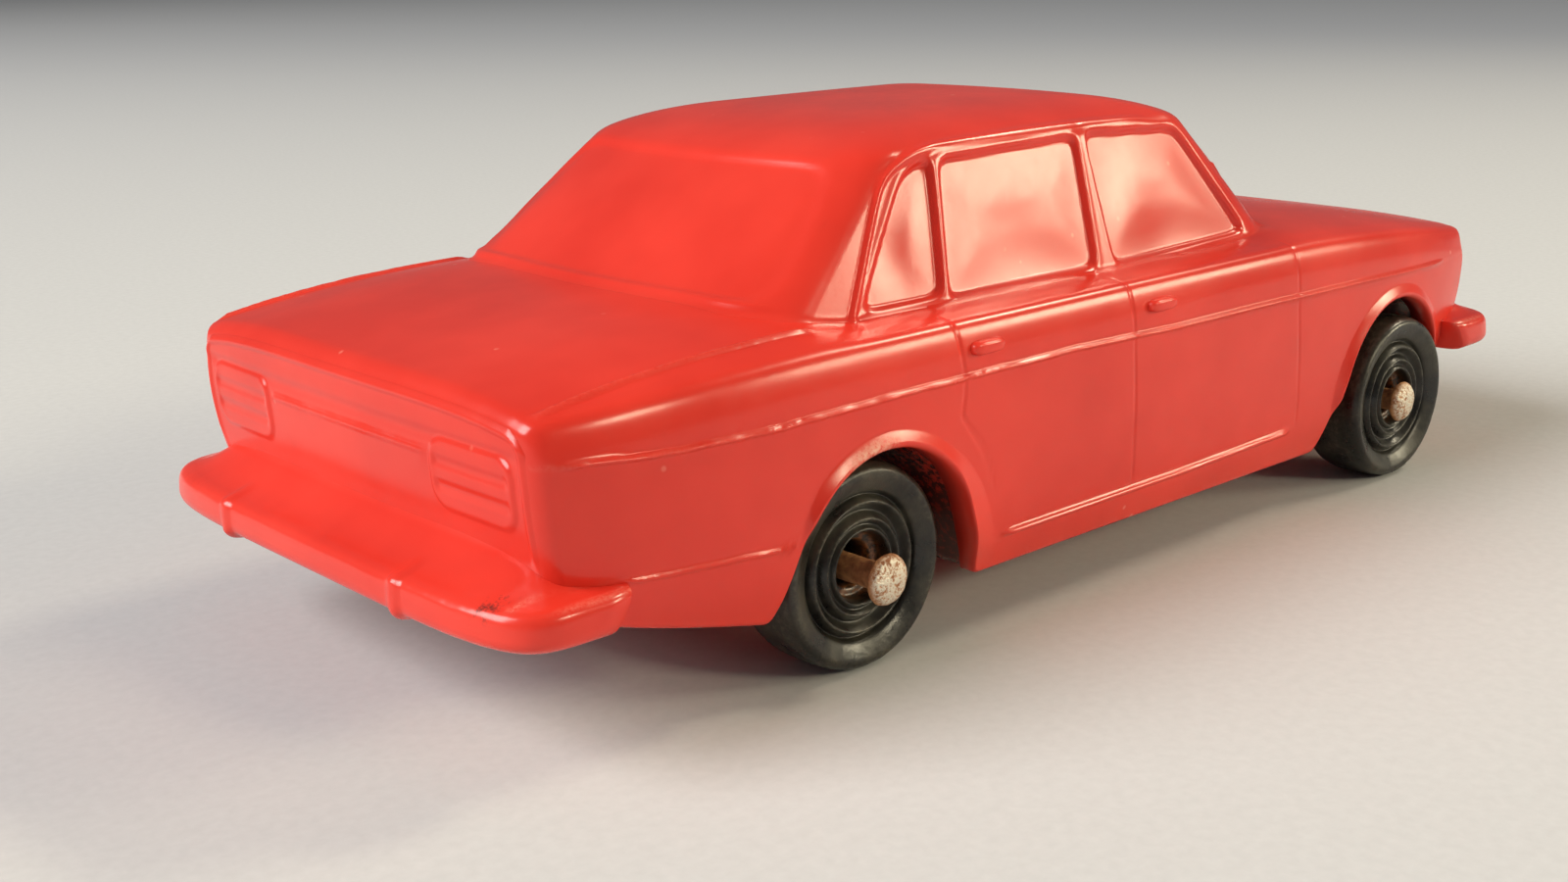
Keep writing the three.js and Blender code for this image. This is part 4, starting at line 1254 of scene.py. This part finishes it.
def archPath(middle, radius, grow):
    # the outline from its rear foot over the top to its front foot, moved out by grow; each foot stops at
    # the well floor, or a little over the body's lower edge where that is higher
    a, f = archForm, wellForm
    r = radius + grow
    turn = np.linspace(a["rearSlant"], a["frontSlant"], f["arcColumns"])
    arc = np.stack([middle + r * np.cos(turn), a["height"] + r * np.sin(turn)], axis=-1)
    feet = []
    for point, slant, sign in ((arc[0], a["rearSlant"], -1), (arc[-1], a["frontSlant"], 1)):
        along = np.array([sign * math.sin(slant), -sign * math.cos(slant)])
        along = along * (-np.sign(along[1]))
        length = (point[1] - f["floor"]) / abs(along[1])
        tries = point + np.linspace(0, 1, 200)[:, None] * length * along
        clear = tries[:, 1] > underAt(tries[:, 0]) + f["overEdge"]
        steps = np.linspace(1, 0, f["footColumns"], endpoint=False)[:, None]
        feet.append(point + steps * (length * clear.mean()) * along)
    return np.concatenate([feet[0], arc, feet[1][::-1]])


def makeWells():
    # closed tubes: the outline at no growth and at one wall of growth, between the side and the cheek,
    # and a flat cheek with a round hole; loops close beside each corner keep its rounding tight, and
    # painted shade darkens the faces towards the wheel
    f = wellForm
    sheets, soilAndShade = [], []
    wells = [(side, axleX, *arch) for side in (-1, 1) for axleX, arch in zip((rearAxleX, frontAxleX), arches)]
    for side, axleX, middle, radius in wells:
        inner = archPath(middle, radius, f["clearance"])
        grown = archPath(middle, radius, f["wall"])
        tuck = bodyForm["sillTuck"] * share(inner[:, 1], *f["tuckHeights"]) ** f["tuckPower"]
        edge = halfWidthAt(inner[:, 0]) - f["behindSide"] - tuck
        end = 0 * edge + 0.5 * (f["cheekInner"] + f["cheekOuter"])
        near, far = edge - f["cornerLoop"], end + f["cornerLoop"]
        loops = [(inner, edge), (grown, edge), (grown, near), (grown, far), (grown, end), (inner, end),
                 (inner, far), (inner, near)]
        rings = np.stack([np.stack([p[:, 0], side * y, p[:, 1]], axis=-1) for p, y in loops], axis=1)
        tube = closedTube(rings)[:, ::side]
        facing = np.array([1, 0, 0, 0, 0, 0, 1, 1, 1])[::side]
        sheets.append(tube)
        # painted shade on the faces towards the wheel, full from a little inside the body's side
        soilAndShade.append(facing * soft(np.abs(tube[..., 1]), *f["paintedShadeFrom"]))
        axle = np.array([axleX, axleHeight])
        low = [(axleX + reach, f["floor"]) for reach in (f["bearing"], -f["bearing"])]
        corners = np.array([grown[-1], *low, grown[0]])
        floor = runs([(a, b, f["floorColumns"]) for a, b in zip(corners, corners[1:])])
        outline = np.concatenate([grown, floor])
        angle = np.arctan2(outline[:, 1] - axle[1], outline[:, 0] - axle[0])
        hole = axle + f["rodHole"] * np.stack([np.cos(angle), np.sin(angle)], axis=-1)
        paths = [hole] + [lerp(hole, outline, t) for t in f["cheekLoops"]] + [outline]
        loops = [(p, f["cheekInner"]) for p in paths] + [(p, f["cheekOuter"]) for p in paths[::-1]]
        loops.append(loops[0])
        plate = [np.stack([p[:, 0], np.full(len(p), side * y), p[:, 1]], axis=-1) for p, y in loops]
        plate = np.stack(plate, axis=1)[:, ::side]
        facing = np.array([0, 0, 0, 0, 1, 1, 1, 1, 0])[::side]
        sheets.append(plate)
        # painted shade on the cheek faces towards the wheel
        soilAndShade.append(facing + 0 * plate[..., 0])
    soilAndShade = f["soilAndShade"] * np.concatenate([part.ravel() for part in soilAndShade])
    return makeMoulding("wheelWells", sheets, soilAndShade=soilAndShade)


makeWells()


# Wheels: one black moulding each, a profile of radius and depth turned round the axle line. A crest that
# rubs is (radius, reach, strength).
wheelForm = {
    "hub": 3.0,
    "hubDepth": 2.0,
    "bore": 1.9,
    "backDepth": 2.2,
    "shoulder": 1.9,
    "turns": 260,
    "rings": ((3.0, -0.75), (3.25, -0.4), (3.6, -1.0), (3.8, -0.8), (4.1, -0.4), (4.45, -0.85), (4.75, -1.35),
              (5.1, -1.0), (5.55, -0.35), (5.9, -0.85), (6.15, -1.35), (6.45, -0.72), (6.9, -0.46),
              (7.4, -0.24), (7.85, -0.06), (8.2, 0.0), (8.55, -0.2), (8.8, -0.75)),
    "cut": 0.2,
    "cuts": 2,
    "uneven": 0.03,
    "dent": 0.12,
    "crests": ((3.25, 0.3, 0.7), (4.1, 0.4, 0.7), (5.55, 0.45, 0.7), (8.1, 0.8, 0.35)),
    "treadRub": 0.4,
    "rustFrom": (3.1, 2.6),
}


def roundedProfile(points, cut, rounds):
    # corner cutting: each round replaces an edge's ends by the points a share of the way in from them
    points = np.array(points, float)
    for _ in range(rounds):
        after = np.roll(points, -1, axis=0)
        points = np.stack([lerp(points, after, cut), lerp(points, after, 1 - cut)], axis=1).reshape(-1, 2)
    return points


def makeWheel(node, start):
    # depth runs in from the outer face; raised rings dip and rise, and shallow dents break the rim
    low, high = nodeBox(node)
    f, h = wheelForm, wheelForm["hub"]
    r, width = 0.5 * (high[2] - low[2]), high[1] - low[1]
    middleX, middleZ = 0.5 * (low[0] + high[0]), 0.5 * (low[2] + high[2])
    side = np.sign(low[1] + high[1])
    face = high[1] if side > 0 else -low[1]
    back = f["backDepth"] - width
    profile = [(f["bore"], -f["hubDepth"]), (h - 0.15, -f["hubDepth"])] + list(f["rings"])
    profile += [(r, -f["shoulder"]), (r, -0.5 * width), (r, f["shoulder"] - width), (r - 0.35, 0.6 - width),
                (r - 1.0, -width), (r - 1.6, -width), (r - 1.8, back), (h, back), (h - 0.2, -width),
                (f["bore"], -width)]
    profile = roundedProfile(profile, f["cut"], f["cuts"])
    profile = np.concatenate([profile, profile[:1]])
    radius, depth = profile[:, 0][:, None], profile[:, 1][:, None]
    turn = np.linspace(0, 2 * np.pi, f["turns"] + 1)[None]
    uneven = wobble(4 * np.cos(turn) + start, start) + wobble(4 * np.sin(turn), 2 * start)
    dent = np.clip(wobble(9 * np.cos(turn) + 5 * np.sin(turn), start + 2) - 0.45, 0, 1)
    dent = f["dent"] * dent * hump(radius - r + 0.8, 1.0)
    depth = np.minimum(depth + soft(depth, -1.2, -0.4) * (f["uneven"] * uneven - dent), 0)
    x = middleX + radius * np.cos(turn)
    z = middleZ + radius * np.sin(turn)
    rings = np.stack([x, side * (face + depth), z], axis=-1)
    crests = sum(strength * hump(radius - place, reach) for place, reach, strength in f["crests"])
    rubAndHighlight = crests * soft(depth, -0.8, -0.4) + f["treadRub"] * hump(radius - r, 0.5)
    rust = soft(radius, *f["rustFrom"]) * soft(depth, -0.9, -1.6) * soft(depth, -3, -2.4)
    marks = {"rubAndHighlight": rubAndHighlight, "rust": rust}
    return makePiece(node + "_tread", [rings], node, node, blackPlastic, marks, flip=side > 0)


wheelNodes = ("wheel_rear_right", "wheel_rear_left", "wheel_front_right", "wheel_front_left")
for number, node in enumerate(wheelNodes):
    makeWheel(node, 1.7 + 2.3 * number)


# Axles: a steel rod with a peened head at each end. Lumps are (least, added) shares of the radius.
axleForm = {
    "rod": 1.2,
    "head": 2.3,
    "headThickness": 1.2,
    "turns": 96,
    "rows": 320,
    "headLumps": (0.035, 0.03),
    "rodLumps": (0.02, 0.015),
    "wornFrom": (0.75, 0.2),
}


def makeAxle(node):
    # radius along the rod, with a domed head whose edge the hammer has left uneven
    low, high = nodeBox(node)
    f, a, b = axleForm, axleForm["rod"], axleForm["head"]
    middleX, middleZ, end = 0.5 * (low[0] + high[0]), 0.5 * (low[2] + high[2]), high[1]
    neck = end - f["headThickness"]
    head = [(0, end), (0.5 * b, end - 0.05), (0.82 * b, end - 0.25), (0.97 * b, end - 0.6), (b, end - 0.85),
            (0.9 * b, neck + 0.05), (a + 0.1, neck), (a, neck - 0.2)]
    rod = [(a, y) for y in np.linspace(neck - 1, 1 - neck, 60)]
    profile = np.array(head + rod + [(radius, -y) for radius, y in head[::-1]])
    knots = np.linspace(0, len(profile) - 1, f["rows"])
    radius, y = [np.interp(knots, np.arange(len(profile)), profile[:, k])[:, None] for k in (0, 1)]
    turn = np.linspace(0, 2 * np.pi, f["turns"] + 1)[None]
    lump = wobble(2.5 * np.cos(turn) + y, 1.1) + wobble(2.5 * np.sin(turn) - y, 3.3)
    onHead = soft(np.abs(y), neck - 0.1, neck + 0.1)
    headLoss, rodLoss = [f[key][0] + f[key][1] * lump for key in ("headLumps", "rodLumps")]
    radius = radius * (1 - onHead * headLoss) * (1 - (1 - onHead) * rodLoss)
    x, z = middleX + radius * np.cos(turn), middleZ + radius * np.sin(turn)
    rings = np.stack([x, y + 0 * turn, z], axis=-1)
    worn = onHead * soft(np.abs(y), end - f["wornFrom"][0], end - f["wornFrom"][1]) + 0 * turn
    return makePiece(node + "_rod", [rings], node, node, rustedSteel, {"worn": worn})


makeAxle("rear_axle")
makeAxle("front_axle")


# Floor, light and world. A lamp stands at an azimuth and elevation seen from the car, so far away in metres.
stageForm = {
    "floor": 6.0,
    "floorPoints": 9,
    "floorTone": (0.64, 0.645, 0.65, 1.0),
    "floorFleck": (0.6016, 0.6063, 0.611, 1.0),
    "fleckScale": 900.0,
    "floorRoughness": 0.9,
    "world": (0.96, 0.98, 1.0, 1.0),
    "worldStrength": 0.13,
    "aim": (0, 0, 0.02),
}
lampForms = {
    "keyLight": {
        "turn": 158, "lift": 34, "away": 2.6, "size": (1.62, 1.62),
        "power": 34.0, "spread": 110, "tone": (1.0, 0.98, 0.95),
    },
    "sideLight": {
        "turn": -40, "lift": 17, "away": 1.5, "size": (0.45, 0.32),
        "power": 0.95, "spread": 60, "tone": (1.0, 0.89, 0.62),
    },
    "pillarLight": {
        "turn": -74, "lift": 25, "away": 1.5, "size": (0.32, 0.2),
        "power": 0.64, "spread": 60, "tone": (1.0, 0.88, 0.62),
    },
    "shoulderLight": {
        "turn": -14, "lift": 42, "away": 1.5, "size": (0.34, 0.12),
        "power": 0.87, "spread": 70, "tone": (1.0, 0.88, 0.64),
    },
}


def makeFloor():  # a level square grid of points
    f = stageForm
    span = np.linspace(-f["floor"], f["floor"], f["floorPoints"])
    x, y = np.meshgrid(span, span, indexing="ij")
    points = np.stack([x, y, 0 * x], axis=-1).reshape(-1, 3)
    index = np.arange(len(points)).reshape(len(span), len(span))
    quads = np.stack([index[:-1, :-1], index[1:, :-1], index[1:, 1:], index[:-1, 1:]], axis=-1).reshape(-1, 4)
    mesh = bpy.data.meshes.new("floor")
    mesh.from_pydata(points.tolist(), [], quads.tolist())
    floor = bpy.data.objects.new("floor", mesh)
    bpy.context.scene.collection.objects.link(floor)
    material, where, shader = newMaterial("floorPaper")
    flecks = where.noise(f["fleckScale"], 3.0).clip(0.3, 0.7)
    tone = where.mix(flecks, f["floorTone"], f["floorFleck"])
    connect(where, shader, {"Base Color": tone, "Roughness": f["floorRoughness"]})
    mesh.materials.append(material)


def makeLamp(name, lamp):  # a rectangle out along its ray, turned to face back down it
    data = bpy.data.lights.new(name, "AREA")
    data.shape = "RECTANGLE"
    data.size, data.size_y = lamp["size"]
    data.energy = lamp["power"]
    data.color = lamp["tone"]
    data.spread = math.radians(lamp["spread"])
    light = bpy.data.objects.new(name, data)
    turn, lift = math.radians(lamp["turn"]), math.radians(lamp["lift"])
    ray = Vector((math.cos(lift) * math.cos(turn), math.cos(lift) * math.sin(turn), math.sin(lift)))
    light.location = Vector(stageForm["aim"]) + ray * lamp["away"]
    light.rotation_euler = (-ray).to_track_quat("-Z", "Y").to_euler()
    bpy.context.scene.collection.objects.link(light)


def makeStage():  # floor and lamps under an even, pale world
    makeFloor()
    for name, lamp in lampForms.items():
        makeLamp(name, lamp)
    world = bpy.data.worlds.new("studio")
    world.use_nodes = True
    world.node_tree.nodes["Background"].inputs[0].default_value = stageForm["world"]
    world.node_tree.nodes["Background"].inputs[1].default_value = stageForm["worldStrength"]
    bpy.context.scene.world = world
    bpy.context.scene.view_settings.view_transform = "Standard"
    print("stage made")


makeStage()
